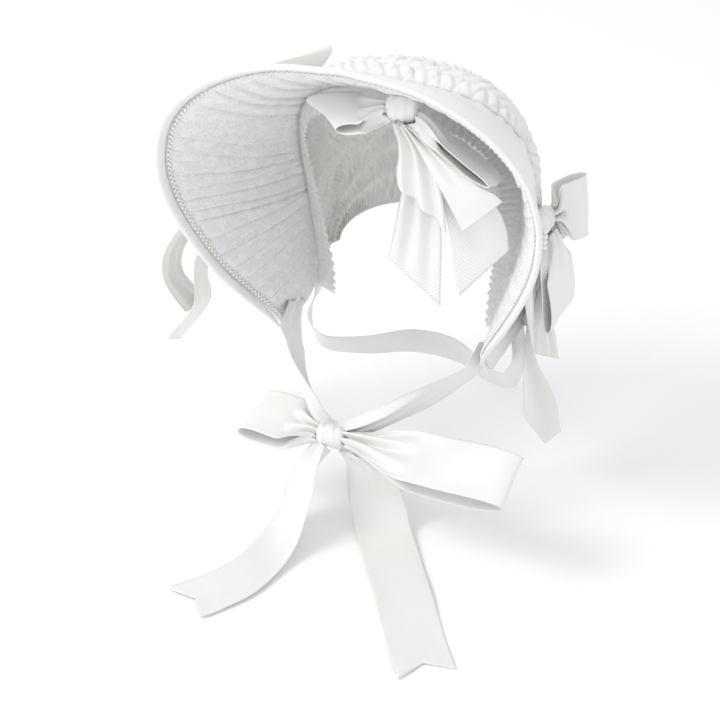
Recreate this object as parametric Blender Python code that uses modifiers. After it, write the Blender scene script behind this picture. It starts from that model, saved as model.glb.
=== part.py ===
"""Poke bonnet of white cotton, lace and satin ribbon, tied under the chin.

Metres, +Z up. The wearer looks along -Y and the wearer's left is +X. The origin is the head
seat: the point inside the crown that rests on top of the head. Cloth pieces are open surfaces
with a Solidify modifier, rolls are bevelled curves, and every trimming is pushed up to what
carries it by seat(), so that it follows a change of any size.
"""

import math
from collections import namedtuple

import bmesh
import bpy
from mathutils import Matrix, Vector
from mathutils.bvhtree import BVHTree

# Brim, measured from the head seat
BRIM_HALF_WIDTH = 0.160
BRIM_HEIGHT = 0.291
BRIM_TOP = 0.060
BRIM_REACH = 0.147
SHELL_THICKNESS = 0.003

# Seam between brim and crown
SEAM_HALF_WIDTH = 0.106
SEAM_HEIGHT = 0.228
SEAM_TOP = 0.002
SEAM_AHEAD = 0.027
SEAM_LEAN = 0.043

# Crown
CROWN_DEPTH = 0.113
CROWN_HEIGHT = 0.162
CROWN_WALL = 0.002
PUFF = 0.006
PUFF_ROWS = 9

# Lining, frill and edge trims
LINING_CLOTH = 0.0012
LINING_SAG = 0.003
PLEAT_DEPTH = 0.0035
FRILL_WIDTH = 0.022
FRILL_WAVE = 0.0035
LACE_CLOTH = 0.001
BINDING_WIDTH = 0.010
BINDING_THICKNESS = 0.0055
BEAD_DIAMETER = 0.0034
BEAD_LINE = 0.0128
LINING_LINE = 0.0165

# Ribbons
RIBBON_WIDTH = 0.048
NAPE_RIBBON_WIDTH = 0.024
RIBBON_CLOTH = 0.0012
KNOT_WIDTH = 0.024
KNOT_HEIGHT = 0.021
KNOT_DEPTH = 0.016
CHIN_DROP = 0.287
CHIN_AHEAD = 0.122
CHIN_SIDE = 0.020
CHIN_LOOP = 0.160
CHIN_LOOP_SHORT = 0.067
CHIN_TAIL = 0.280
CHIN_TAIL_SHORT = 0.215
CHIN_TAIL_DROP = 0.083
INNER_LOOP = 0.078
INNER_LOOP_SHORT = 0.054
INNER_TAIL = 0.130
SIDE_LOOP_TOP = 0.094
SIDE_LOOP_BACK = 0.036
SIDE_LOOP_SHORT = 0.030
SIDE_LOOP_LOW = 0.084
SIDE_TAIL = 0.215
SIDE_PEARL = 0.005
SIDE_PEARL_DROP = 0.020
NAPE_BACK = 0.037
NAPE_DROP = 0.086
STRAP_SETBACK = 0.027
STRAP_RISE = 0.017
STRAP_INSET = 0.012
NAPE_SETBACK = 0.020
NAPE_RISE = 0.012

# Clearances between pieces
SEAM_GAP = 0.0005
SEAT_GAP = 0.0003
CLOTH_GAP = 0.0006

# How far a piece travels at most to its seat, and how closely its edges are tested
SEAT_TRAVEL = 0.040
EDGE_STEP = 0.002

SPAN_STEPS = 2
FOLD_STEPS = 3

# Outline of the edge roll's cut end: shares of its width and of its thickness
ROLL = [(1.0, 0.0), (0.55, 1.0), (-0.55, 1.0), (-1.0, 0.0), (-0.55, -1.0), (0.55, -1.0)]

Edge = namedtuple("Edge", "across down along")

# Half of the rim, from the top to the lower corner: shares of the half width, the height
# and the reach ahead
RIM = [
    Edge(0.000, 0.000, 1.000),
    Edge(0.388, 0.024, 1.006),
    Edge(0.700, 0.096, 1.014),
    Edge(0.912, 0.203, 1.014),
    Edge(1.000, 0.330, 1.000),
    Edge(0.994, 0.464, 0.966),
    Edge(0.919, 0.591, 0.905),
    Edge(0.800, 0.725, 0.816),
    Edge(0.688, 0.835, 0.694),
    Edge(0.606, 0.928, 0.565),
    Edge(0.600, 1.000, 0.442),
]

# Half of the seam: shares of its half width, its height and its lean to the back
SEAM = [
    Edge(0.000, 0.000, 0.000),
    Edge(0.302, 0.009, 0.047),
    Edge(0.594, 0.048, 0.163),
    Edge(0.830, 0.127, 0.326),
    Edge(0.953, 0.232, 0.512),
    Edge(1.000, 0.351, 0.698),
    Edge(1.000, 0.478, 0.837),
    Edge(0.981, 0.614, 0.930),
    Edge(0.962, 0.746, 0.977),
    Edge(0.943, 0.877, 1.000),
    Edge(0.934, 1.000, 0.977),
]

Row = namedtuple("Row", "back down end_back end_up width")

# Crown rows from the seam to the nape: the middle's place as shares of the crown's depth and
# height, the lower ends' place as shares of the same, and the half width as a share of the seam's
CROWN = [
    Row(0.000, 0.000, 0.000, 0.000, 1.000),
    Row(0.150, -0.026, 0.045, 0.020, 1.012),
    Row(0.330, -0.008, 0.100, 0.040, 1.010),
    Row(0.500, 0.042, 0.150, 0.055, 1.000),
    Row(0.660, 0.118, 0.190, 0.070, 0.990),
    Row(0.795, 0.215, 0.230, 0.080, 0.978),
    Row(0.900, 0.330, 0.265, 0.092, 0.965),
    Row(0.965, 0.480, 0.290, 0.105, 0.940),
    Row(1.000, 0.640, 0.310, 0.118, 0.912),
    Row(0.990, 0.820, 0.330, 0.135, 0.880),
    Row(0.950, 1.000, 0.345, 0.150, 0.845),
]

Strip = namedtuple("Strip", "right ahead down heading dip share")

# Ribbon ends: the middle of the ribbon as shares of its length, and of its drop for the fall,
# then the heading and the dip of the width direction in degrees, and the share of full width
CHIN_TAIL_LEFT = [
    Strip(0.057, 0.004, 0.12, 25, -20, 0.45),
    Strip(0.121, 0.000, 0.32, 6, -19, 0.90),
    Strip(0.143, -0.014, 0.70, -14, -6, 1.00),
    Strip(0.195, 0.040, 0.97, -22, 0, 1.00),
    Strip(0.329, 0.243, 1.00, -44, 0, 1.00),
    Strip(0.461, 0.454, 1.00, -32, 0, 1.00),
    Strip(0.539, 0.571, 1.00, -39, 0, 1.00),
]
CHIN_TAIL_RIGHT = [
    Strip(-0.028, 0.050, 0.12, 50, -20, 0.45),
    Strip(-0.060, 0.076, 0.22, 48, -22, 0.80),
    Strip(-0.093, 0.116, 0.42, 36, -33, 1.00),
    Strip(-0.098, 0.167, 0.66, 32, -30, 1.00),
    Strip(-0.116, 0.275, 0.94, 38, -8, 1.00),
    Strip(-0.149, 0.507, 1.00, 46, 0, 1.00),
    Strip(-0.219, 0.651, 1.00, 52, 0, 1.00),
    Strip(-0.298, 0.753, 1.00, 34, 0, 1.00),
]
INNER_UPPER_RIGHT = [
    Strip(0.02, 0.03, 0.08, 10, 10, 0.30),
    Strip(0.10, 0.04, 0.22, 5, 0, 0.60),
    Strip(0.14, 0.04, 0.44, 0, 0, 0.80),
    Strip(0.16, 0.03, 0.61, 0, 0, 0.80),
]
INNER_UPPER_LEFT = [
    Strip(0.10, 0.09, 0.12, 6, 20, 0.30),
    Strip(0.29, 0.13, 0.26, 4, 20, 0.85),
    Strip(0.48, 0.13, 0.44, -6, 10, 1.00),
    Strip(0.59, 0.12, 0.60, -14, 0, 1.00),
]
INNER_LOWER_RIGHT = [
    Strip(0.03, -0.07, 0.11, 5, 10, 0.28),
    Strip(0.11, -0.09, 0.38, 0, 0, 0.45),
    Strip(0.11, -0.09, 0.78, 0, 0, 0.80),
    Strip(0.09, -0.08, 1.22, 0, 0, 1.00),
]
INNER_LOWER_LEFT = [
    Strip(0.08, -0.02, 0.14, 5, 10, 0.30),
    Strip(0.29, -0.03, 0.38, 0, 10, 0.85),
    Strip(0.47, -0.05, 0.68, -4, 0, 1.00),
    Strip(0.55, -0.07, 1.09, -12, 0, 1.00),
]
SIDE_TAIL_LONG = [
    Strip(-0.010, 0.025, 0.055, 84, 0, 0.35),
    Strip(-0.018, 0.050, 0.25, 84, 0, 0.75),
    Strip(-0.010, 0.055, 0.52, 62, -10, 1.00),
    Strip(0.040, 0.050, 0.78, 32, -22, 1.00),
    Strip(0.065, 0.050, 0.93, 28, -25, 1.00),
]
SIDE_TAIL_BACK = [
    Strip(0.000, -0.088, 0.035, -84, 0, 0.28),
    Strip(-0.004, -0.112, 0.28, -86, 0, 0.50),
    Strip(-0.018, -0.110, 0.50, -84, 0, 0.60),
    Strip(0.002, -0.115, 0.67, -78, 0, 0.75),
]
SIDE_TAIL_OUT = [
    Strip(0.038, 0.018, 0.00, 90, 0, 0.35),
    Strip(0.190, 0.160, 0.06, 94, -10, 0.85),
    Strip(0.325, 0.260, 0.22, 100, -22, 0.95),
    Strip(0.372, 0.275, 0.40, 98, -22, 0.95),
    Strip(0.302, 0.200, 0.585, 92, -18, 0.95),
]
SIDE_TAIL_FRONT = [
    Strip(0.045, 0.020, 0.06, 84, 0, 0.35),
    Strip(0.150, 0.130, 0.20, 88, -10, 0.80),
    Strip(0.250, 0.235, 0.31, 98, -18, 0.90),
    Strip(0.270, 0.258, 0.41, 98, -18, 0.90),
    Strip(0.272, 0.262, 0.555, 92, -18, 0.95),
    Strip(0.415, 0.252, 0.765, 84, -10, 1.00),
]

Band = namedtuple("Band", "across along down heading dip share")

# Half of each strap, from the seat on the bonnet to its middle: how much of the way across,
# along and down it has gone, then the width direction and the share of full width
CHIN_STRAP = [
    Band(0.00, 0.00, 0.00, -90, 25, 0.90),
    Band(0.04, 0.30, 0.20, -90, 36, 1.00),
    Band(0.15, 0.45, 0.33, -92, 46, 1.00),
    Band(0.35, 0.68, 0.52, -98, 52, 0.90),
    Band(0.70, 0.97, 0.78, -100, 64, 0.48),
    Band(0.90, 1.02, 0.94, -96, 76, 0.32),
    Band(1.00, 1.00, 1.00, -90, 88, 0.28),
]
NAPE_STRAP = [
    Band(0.00, 0.00, 0.00, -84, 0, 0.90),
    Band(0.04, -0.35, 0.25, -80, 0, 1.00),
    Band(-0.04, -0.62, 0.50, -68, 10, 1.00),
    Band(0.06, -0.50, 0.84, -50, 50, 1.00),
    Band(0.40, 0.28, 1.00, -30, 76, 1.00),
    Band(0.72, 0.86, 1.00, -12, 86, 1.00),
    Band(1.00, 1.00, 1.00, 0, 89, 1.00),
]

Loop = namedtuple("Loop", "name out across reach puff arch twist slant pinch")
Tail = namedtuple("Tail", "name rows length drop cut")

# Ribbon loops of each bow: which way the loop and its width point, its reach, its opening, how
# far its middle arches to the side, how many degrees its width has turned at the far end, how
# far one edge runs ahead there as a share of the ribbon, and the share of its width at the knot
CHIN_LOOPS = [
    Loop("loop_left", (0.98, -0.17, 0.10), (0.30, -0.85, -0.43), CHIN_LOOP, 0.030, 0.008, 0, 0, 0.3),
    Loop("loop_right", (-0.98, 0.16, -0.06), (0, -0.95, -0.28), CHIN_LOOP_SHORT, 0.024, 0, 0, 0, 0.3),
]
INNER_LOOPS = [
    Loop(
        "loop_right", (-0.95, -0.05, -0.22), (0.55, -0.80, -0.02), INNER_LOOP_SHORT,
        0.012, 0, 0, 0.42, 0.3,
    ),
    Loop("loop_left", (0.88, -0.10, -0.46), (0.05, -0.90, 0.30), INNER_LOOP, 0.014, 0, 0, 0, 0.3),
]
LEFT_LOOPS = [
    Loop("loop_back", (0.55, 0.80, 0.12), (0.10, -0.40, -0.90), SIDE_LOOP_SHORT, 0.028, 0, 0, 0.14, 0.7),
    Loop(
        "loop_low", (0.12, 0.12, -0.98), (0.12, 0.98, -0.05), SIDE_LOOP_LOW,
        0.014, 0.003, 0, 0, 0.3,
    ),
]
RIGHT_LOOPS = [
    Loop(
        "loop_top", (0.15, 0.15, 0.98), (0.15, 0.98, 0.00), SIDE_LOOP_TOP,
        0.014, 0.016, -32, -0.14, 0.3,
    ),
    Loop(
        "loop_back", (-0.55, 0.80, -0.12), (-0.10, -0.40, -0.90), SIDE_LOOP_BACK,
        0.022, 0, 0, 0, 0.3,
    ),
]

# Free ends of each bow: the cut is how far the two corners and the middle run on, as shares of
# the ribbon's width
CHIN_TAILS = [
    Tail("tail_left", CHIN_TAIL_LEFT, CHIN_TAIL, CHIN_TAIL_DROP, (0.06, -0.22, 0.06)),
    Tail("tail_right", CHIN_TAIL_RIGHT, CHIN_TAIL_SHORT, CHIN_TAIL_DROP, (0.10, -0.18, 0.00)),
]
INNER_TAILS = [
    Tail("tail_upper_right", INNER_UPPER_RIGHT, INNER_TAIL, INNER_TAIL, (-0.35, 0.0, 0.35)),
    Tail("tail_upper_left", INNER_UPPER_LEFT, INNER_TAIL, INNER_TAIL, (0.35, 0.0, -0.35)),
    Tail("tail_lower_right", INNER_LOWER_RIGHT, INNER_TAIL, INNER_TAIL, (-0.35, 0.0, 0.35)),
    Tail("tail_lower_left", INNER_LOWER_LEFT, INNER_TAIL, INNER_TAIL, (0.50, 0.0, -0.50)),
]
LEFT_TAILS = [
    Tail("tail_long", SIDE_TAIL_LONG, SIDE_TAIL, SIDE_TAIL, (-0.30, 0.25, -0.05)),
    Tail("tail_back", SIDE_TAIL_BACK, SIDE_TAIL, SIDE_TAIL, (-0.25, 0.0, 0.25)),
]
RIGHT_TAILS = [
    Tail("tail_out", SIDE_TAIL_OUT, SIDE_TAIL, SIDE_TAIL, (0.0, 0.0, 0.0)),
    Tail("tail_front", SIDE_TAIL_FRONT, SIDE_TAIL, SIDE_TAIL, (0.30, 0.0, -0.30)),
]

# Where the bows start from before they are seated on the bonnet
INNER_BOW = Vector((0.032, -0.100, -0.010))
SIDE_BOW = Vector((SEAM_HALF_WIDTH + 2 * KNOT_DEPTH, 0.000, -0.112))
CHIN_BOW = Vector((-CHIN_SIDE, -CHIN_AHEAD - KNOT_DEPTH, -CHIN_DROP))

PART = "poke_bonnet"
SATIN = ("satin", (0.880, 0.880, 0.872, 1.0), 0.38)
COTTON = ("cotton", (0.860, 0.860, 0.850, 1.0), 0.80)
LACE = ("lace", (0.800, 0.805, 0.810, 1.0), 0.85)
PEARL = ("pearl", (0.900, 0.890, 0.870, 1.0), 0.25)


def clear_scene():
    """Remove what the scene starts with."""
    for obj in list(bpy.data.objects):
        bpy.data.objects.remove(obj, do_unlink=True)


def parts_collection():
    """The collection that every piece goes in."""
    group = bpy.data.collections.new(PART)
    bpy.context.scene.collection.children.link(group)
    return group


def add(name, data, look, smooth=True):
    """Put mesh or curve data in the scene as a named piece with a material of its own."""
    obj = bpy.data.objects.new(name, data)
    bpy.data.collections[PART].objects.link(obj)
    kind, colour, roughness = look
    material = bpy.data.materials.new(f"{name}_{kind}")
    material.use_nodes = True
    shader = material.node_tree.nodes["Principled BSDF"]
    shader.inputs["Base Color"].default_value = colour
    shader.inputs["Roughness"].default_value = roughness
    shader.inputs["Metallic"].default_value = 0.0
    data.materials.append(material)
    if smooth and hasattr(data, "polygons"):
        for face in data.polygons:
            face.use_smooth = True
    return obj


def spline(rows, steps):
    """Points of a smooth curve through the rows, with so many steps from row to row."""
    knots = [Vector(row) for row in rows]
    knots = [2 * knots[0] - knots[1]] + knots + [2 * knots[-1] - knots[-2]]
    points = []
    for before, start, end, after in zip(knots, knots[1:], knots[2:], knots[3:]):
        for step in range(steps):
            t = step / steps
            bend = 2 * before - 5 * start + 4 * end - after
            turn = 3 * start - before - 3 * end + after
            points.append(start + ((end - before) * t + bend * t * t + turn * t ** 3) / 2)
    points.append(knots[-2])
    return points


def whole(half):
    """Both halves of a symmetric line, from the lower right corner over the top."""
    mirrored = [Vector((-p.x, p.y, p.z)) for p in half[:0:-1]]
    return mirrored + half


def rim_line():
    """The outer edge of the brim."""
    rows = [
        (row.across * BRIM_HALF_WIDTH, -row.along * BRIM_REACH, BRIM_TOP - row.down * BRIM_HEIGHT)
        for row in RIM
    ]
    return whole(spline(rows, SPAN_STEPS))


def seam_line():
    """The seam that joins the brim to the crown."""
    rows = [
        (
            row.across * SEAM_HALF_WIDTH,
            row.along * SEAM_LEAN - SEAM_AHEAD,
            SEAM_TOP - row.down * SEAM_HEIGHT,
        )
        for row in SEAM
    ]
    return whole(spline(rows, SPAN_STEPS))


def brim_frame():
    """For each station: the rim point, the way back to the seam, its length and the inside."""
    rim, seam = rim_line(), seam_line()
    frame = []
    for i, (front, back) in enumerate(zip(rim, seam)):
        along = rim[min(i + 1, len(rim) - 1)] - rim[max(i - 1, 0)]
        along += seam[min(i + 1, len(seam) - 1)] - seam[max(i - 1, 0)]
        way = back - front
        inward = way.cross(along).normalized()
        frame.append((front, way.normalized(), way.length, inward))
    return frame


def between(frame, steps):
    """The frame again with so many even steps from station to station."""
    fine = []
    for first, second in zip(frame, frame[1:]):
        for step in range(steps):
            t = step / steps
            fine.append(tuple(a + (b - a) * t for a, b in zip(first, second)))
    fine.append(frame[-1])
    return fine


def sheet(name, grid, thickness, look, offset=0.0):
    """An open surface through a grid of points, given its thickness by Solidify."""
    mesh = bpy.data.meshes.new(name)
    across = len(grid[0])
    points = [point for line in grid for point in line]
    faces = [
        (
            i * across + j,
            (i + 1) * across + j,
            (i + 1) * across + j + 1,
            i * across + j + 1,
        )
        for i in range(len(grid) - 1)
        for j in range(across - 1)
    ]
    mesh.from_pydata(points, [], faces)
    obj = add(name, mesh, look)
    wall = obj.modifiers.new("wall", "SOLIDIFY")
    wall.thickness = thickness
    wall.offset = offset
    return obj


def roll(name, points, radius, look):
    """A round roll along the points, as a bevelled curve with filled caps."""
    curve = bpy.data.curves.new(name, "CURVE")
    curve.dimensions = "3D"
    curve.bevel_depth = radius
    curve.bevel_resolution = 1
    curve.use_fill_caps = True
    line = curve.splines.new("POLY")
    line.points.add(len(points) - 1)
    for i, point in enumerate(points):
        line.points[i].co = (*point, 1.0)
    return add(name, curve, look)


def build_brim(frame):
    """Stiff satin-covered brim, from the seam to just short of the rolled edge."""
    grid = []
    for front, way, length, _ in frame:
        start = BINDING_WIDTH + SEAM_GAP
        stops = [start + (length - start) * k / 3 for k in range(4)]
        grid.append([front + way * stop for stop in stops])
    return sheet("brim_shell", grid, SHELL_THICKNESS, SATIN)


def build_binding(frame):
    """Rolled satin edge all round the brim, thinner towards the lower corners."""
    last = len(frame) - 1
    shape = bmesh.new()
    rings = []
    for i, (front, way, _, inward) in enumerate(frame):
        size = min(1.0, 0.35 + 0.16 * min(i, last - i)) / 2
        ring = []
        for wide, thick in ROLL:
            place = front + way * BINDING_WIDTH * (0.5 + wide * size)
            ring.append(shape.verts.new(place + inward * BINDING_THICKNESS * thick * size))
        for k in range(len(ring)):
            shape.edges.new((ring[k - 1], ring[k]))
        rings.append(ring)
    edges = list(shape.edges)
    bmesh.ops.contextual_create(shape, geom=rings[0])
    bmesh.ops.contextual_create(shape, geom=rings[-1])
    bmesh.ops.bridge_loops(shape, edges=edges)
    bmesh.ops.recalc_face_normals(shape, faces=shape.faces)
    mesh = bpy.data.meshes.new("rim_binding")
    shape.to_mesh(mesh)
    shape.free()
    return add("rim_binding", mesh, SATIN)


def build_bead_line(frame):
    """The string of pearl beads just inside the rolled edge."""
    radius = BEAD_DIAMETER / 2
    lift = SHELL_THICKNESS / 2 + CLOTH_GAP + radius
    points = [front + way * BEAD_LINE + inward * lift for front, way, _, inward in frame[1:-1]]
    return roll("bead_line", points, radius, PEARL)


def pleat(i):
    """How deep fold number i of the lining is, as a share of the full depth."""
    if i % 2 == 0:
        return 0.0
    return 0.62 + 0.38 * math.sin(1.9 * i) * math.sin(0.61 * i)


def build_lining(frame):
    """Lace-covered lining, folded in pleats that run from the rim to the seam."""
    lift = SHELL_THICKNESS / 2 + CLOTH_GAP + LINING_CLOTH / 2
    stations = between(frame, FOLD_STEPS)
    grid = []
    for i, (front, way, length, inward) in enumerate(stations):
        mirrored = min(i, len(stations) - 1 - i)
        line = []
        for k in range(4):
            share = k / 3
            stop = LINING_LINE + (length - LINING_LINE) * share
            sag = LINING_SAG * math.sin(math.pi * share)
            fold = PLEAT_DEPTH * pleat(mirrored) * (1.0 if 0 < k < 3 else 0.45)
            line.append(front + way * stop + inward * (lift + sag + fold))
        grid.append(line)
    return sheet("brim_lining", grid, LINING_CLOTH, LACE)


def build_frill(frame):
    """Gathered lace frill that stands inwards from the seam round the head opening."""
    lift = SHELL_THICKNESS / 2 + LINING_CLOTH + 2 * CLOTH_GAP + 0.7 * PLEAT_DEPTH
    grid = []
    for i, (front, way, length, inward) in enumerate(between(frame, 2)):
        root = front + way * (length - FRILL_WAVE) + inward * lift
        wave = FRILL_WAVE * (1 if i % 2 else -1)
        edge = root + inward * FRILL_WIDTH - way * (0.55 * FRILL_WIDTH + wave)
        grid.append([root, edge])
    return sheet("opening_frill", grid, LACE_CLOTH, LACE)


def crown_row(row, v):
    """One line of the crown from the lower right end over the top to the lower left end."""
    seam = spline([(edge.across, edge.down, edge.along) for edge in SEAM], FOLD_STEPS)
    blend = min(v / 0.70, 1.0)
    blend = blend * blend * (3 - 2 * blend)
    top = Vector((0, row.back * CROWN_DEPTH - SEAM_AHEAD, SEAM_TOP - row.down * CROWN_HEIGHT))
    end_y = seam[-1].z * SEAM_LEAN - SEAM_AHEAD + row.end_back * CROWN_DEPTH
    end_z = SEAM_TOP - SEAM_HEIGHT + row.end_up * CROWN_HEIGHT
    points = []
    for i, (across, down, along) in enumerate(seam):
        angle = math.pi / 2 * i / (len(seam) - 1)
        wide = across * (1 - blend) + math.sin(angle) * blend
        fall = down * (1 - blend) + (1 - math.cos(angle)) * blend
        back = along / seam[-1].z * (1 - blend) + (1 - math.cos(angle)) * blend
        y = top.y + (end_y - top.y) * back
        z = top.z + (end_z - top.z) * fall
        points.append(Vector((wide * row.width * SEAM_HALF_WIDTH, y, z)))
    return whole(points)


def build_crown(frame):
    """Crown gathered in puffed rows that run parallel to the brim seam."""
    fine = [Row(*row) for row in spline(CROWN, 8)]
    count = 2 * PUFF_ROWS
    grid = []
    for k in range(count + 1):
        v = k / count
        grid.append(crown_row(fine[round(v * (len(fine) - 1))], v))
    gap = SEAM_GAP + CROWN_WALL / 2
    ways = [way for _, way, _, _ in between(frame, FOLD_STEPS)][::SPAN_STEPS]
    grid = [[point + way * gap for point, way in zip(line, ways)] for line in grid]
    puffed = []
    for k, line in enumerate(grid):
        before, after = grid[max(k - 1, 0)], grid[min(k + 1, count)]
        bumps = []
        for i, point in enumerate(line):
            along = line[min(i + 1, len(line) - 1)] - line[max(i - 1, 0)]
            out = along.cross(after[i] - before[i]).normalized()
            gather = 1.0 if (i + k // 2) % 2 else 0.45
            bumps.append(point + out * PUFF * gather * (k % 2))
        puffed.append(bumps)
    return sheet("crown", puffed, CROWN_WALL, COTTON)


def solid_tree(*objects):
    """Search tree of finished pieces, modifiers included, and points all along their edges."""
    bpy.context.view_layer.update()
    graph = bpy.context.evaluated_depsgraph_get()
    points, faces, samples = [], [], []
    for obj in objects:
        mesh = obj.evaluated_get(graph).to_mesh()
        mesh.calc_loop_triangles()
        base = len(points)
        points += [obj.matrix_world @ corner.co for corner in mesh.vertices]
        triangles = [[base + i for i in face.vertices] for face in mesh.loop_triangles]
        faces += triangles
        sides = {tuple(sorted((t[k], t[k - 1]))) for t in triangles for k in range(3)}
        for first, second in sorted(sides):
            start, end = points[first], points[second]
            count = 1 + int((end - start).length / EDGE_STEP)
            samples += [start + (end - start) * (k / count) for k in range(count + 1)]
    return BVHTree.FromPolygons(points, faces), samples


def spare_room(obj, tree, points, shift):
    """How much closer a piece can come to its carriers before only the seat gap is left."""
    own_tree, own_points = solid_tree(obj)
    reach = [tree.find_nearest(point + shift)[3] for point in own_points]
    reach += [own_tree.find_nearest(point - shift)[3] for point in points]
    return min(reach) - SEAT_GAP


def near_points(points, obj):
    """The points of the carriers that the piece could meet."""
    tree, _ = solid_tree(obj)
    return [point for point in points if tree.find_nearest(point)[3] < SEAT_TRAVEL]


def seat(obj, toward, *carriers):
    """Move a piece that stands clear of its carriers up to them, to the seat gap."""
    toward = Vector(toward).normalized()
    tree, points = solid_tree(*carriers)
    points = near_points(points, obj)
    moved = 0.0
    for _ in range(60):
        spare = spare_room(obj, tree, points, toward * moved)
        if spare < SEAT_GAP / 20:
            break
        moved += spare
    obj.location += toward * moved
    bpy.context.view_layer.update()
    return obj


def spread(obj, carrier, weights):
    """Move both ends of a strap out sideways to the seat gap; the middle keeps its place."""
    tree, points = solid_tree(carrier)
    points = near_points(points, obj)
    for _ in range(60):
        spare = spare_room(obj, tree, points, Vector())
        if spare < SEAT_GAP / 20:
            break
        for corner, weight in zip(obj.data.vertices, weights):
            corner.co.x += spare * weight
        obj.data.update()
    return obj


def heading(degrees, dip):
    """Unit vector at a heading from +X towards -Y, falling by the dip."""
    turn, fall = math.radians(degrees), math.radians(dip)
    return Vector(
        (math.cos(turn) * math.cos(fall), -math.sin(turn) * math.cos(fall), -math.sin(fall))
    )


def build_knot(name, centre, turn=0.0):
    """The wrapped middle of a bow."""
    mesh = bpy.data.meshes.new(name)
    shape = bmesh.new()
    bmesh.ops.create_uvsphere(shape, u_segments=10, v_segments=6, radius=0.5)
    for corner in shape.verts:
        corner.co.x *= KNOT_WIDTH
        corner.co.y *= KNOT_DEPTH
        corner.co.z *= KNOT_HEIGHT
    shape.to_mesh(mesh)
    shape.free()
    knot = add(name, mesh, SATIN)
    knot.location = centre
    knot.rotation_euler.z = math.radians(turn)
    return knot


def build_loop(bow, loop, knot, neighbours):
    """A bow loop: out from the knot, round its far end and back, pinched at the knot."""
    out = Vector(loop.out).normalized()
    across = Vector(loop.across)
    across = (across - out * across.dot(out)).normalized()
    face = out.cross(across)
    steps = 14
    pinch = RIBBON_CLOTH / 2 + CLOTH_GAP
    grid = []
    for i in range(steps + 1):
        angle = 2 * math.pi * i / steps
        along = (1 - math.cos(angle)) / 2
        side = math.sin(angle) * (0.3 + 0.7 * along) * loop.puff / 2
        side += (1 - along) * (pinch if i < steps / 2 else -pinch)
        side += loop.arch * math.sin(math.pi * along)
        opened = min(1.0, along * 2.4)
        share = loop.pinch + (1 - loop.pinch) * opened * opened * (3 - 2 * opened)
        middle = out * loop.reach * along + face * side
        turned = Matrix.Rotation(math.radians(loop.twist * along), 3, out) @ across
        half = (turned * share / 2 - out * loop.slant * along) * RIBBON_WIDTH
        grid.append([middle - half, middle + half])
    piece = sheet(f"{bow}_{loop.name}", grid, RIBBON_CLOTH, SATIN)
    piece.location = knot.location + out * (KNOT_WIDTH / 2 + 3 * CLOTH_GAP)
    return seat(piece, -out, knot, *neighbours)


def build_tail(bow, tail, knot, neighbours, side=1):
    """A free ribbon end that falls from the knot, with its cut end."""
    rows = []
    for row in tail.rows:
        middle = Vector((side * row.right, -row.ahead, 0)) * tail.length
        middle.z = -row.down * tail.drop
        way = heading(row.heading, row.dip) * RIBBON_WIDTH / 2 * row.share
        rows.append((*middle, side * way.x, way.y, way.z))
    rows = spline(rows, 2)
    grid = []
    for row in rows:
        middle, half = Vector(row[:3]), Vector(row[3:])
        grid.append([middle - half, middle, middle + half])
    way = (grid[-1][1] - grid[-2][1]).normalized()
    grid[-1] = [point + way * RIBBON_WIDTH * more for point, more in zip(grid[-1], tail.cut)]
    away = grid[0][1].normalized()
    piece = sheet(f"{bow}_{tail.name}", grid, RIBBON_CLOTH, SATIN)
    piece.location = knot.location + away * max(0.0, 0.75 * KNOT_WIDTH - grid[0][1].length)
    return seat(piece, -away, knot, *neighbours)


def build_bow(bow, knot, neighbours, loops, tails, side=1):
    """The loops and free ends of a bow, each seated on the knot and clear of the others."""
    pieces = list(neighbours)
    for loop in loops:
        pieces.append(build_loop(bow, loop, knot, pieces))
    for tail in tails:
        pieces.append(build_tail(bow, tail, knot, pieces, side))
    return pieces


def build_strap(name, start, end, bands, width, carrier):
    """A ribbon between two mirrored seats inside the bonnet, by way of its lowest point."""
    halves = []
    for side in (1, -1):
        rows = []
        for band in bands:
            x = side * start.x + (end.x - side * start.x) * band.across
            y = start.y + (end.y - start.y) * band.along
            z = start.z + (end.z - start.z) * band.down
            half = heading(band.heading, band.dip) * width / 2 * band.share
            rows.append((x, y, z, side * half.x, half.y, half.z))
        halves.append(spline(rows, 2))
    rows = halves[0] + halves[1][-2::-1]
    grid, weights = [], []
    for i, row in enumerate(rows):
        middle, half = Vector(row[:3]), Vector(row[3:])
        grid.append([middle - half, middle, middle + half])
        weights += [1 - 2 * i / (len(rows) - 1)] * 3
    piece = sheet(name, grid, RIBBON_CLOTH, SATIN)
    return spread(piece, carrier, weights)


def build_chin_strap(lining):
    """The ribbon that runs from one lower corner of the brim under the chin to the other."""
    corner = rim_line()[-1]
    start = corner + Vector((-STRAP_INSET, STRAP_SETBACK, STRAP_RISE))
    end = Vector((-CHIN_SIDE, KNOT_DEPTH / 2 + RIBBON_CLOTH - CHIN_AHEAD, -CHIN_DROP))
    return build_strap("chin_strap", start, end, CHIN_STRAP, RIBBON_WIDTH, lining)


def build_nape_ribbon(crown):
    """The narrower ribbon that runs behind the neck, sewn inside the crown's lower ends."""
    corner = seam_line()[-1]
    start = corner + Vector((-STRAP_INSET, NAPE_SETBACK, NAPE_RISE))
    end = Vector((0.0, start.y + NAPE_BACK, start.z - NAPE_DROP))
    return build_strap("nape_ribbon", start, end, NAPE_STRAP, NAPE_RIBBON_WIDTH, crown)


def build_side_pearls(knot, neighbours):
    """The short string of pearls that hangs in front of the left knot."""
    steps = 4
    points = [Vector((0, 0, -SIDE_PEARL_DROP * i / steps)) for i in range(steps + 1)]
    pearls = roll("left_pearls", points, SIDE_PEARL / 2, PEARL)
    pearls.location = knot.location + Vector((KNOT_DEPTH, -KNOT_WIDTH / 2, 0))
    return seat(pearls, (-1, 0, 0), knot, *neighbours)


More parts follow.
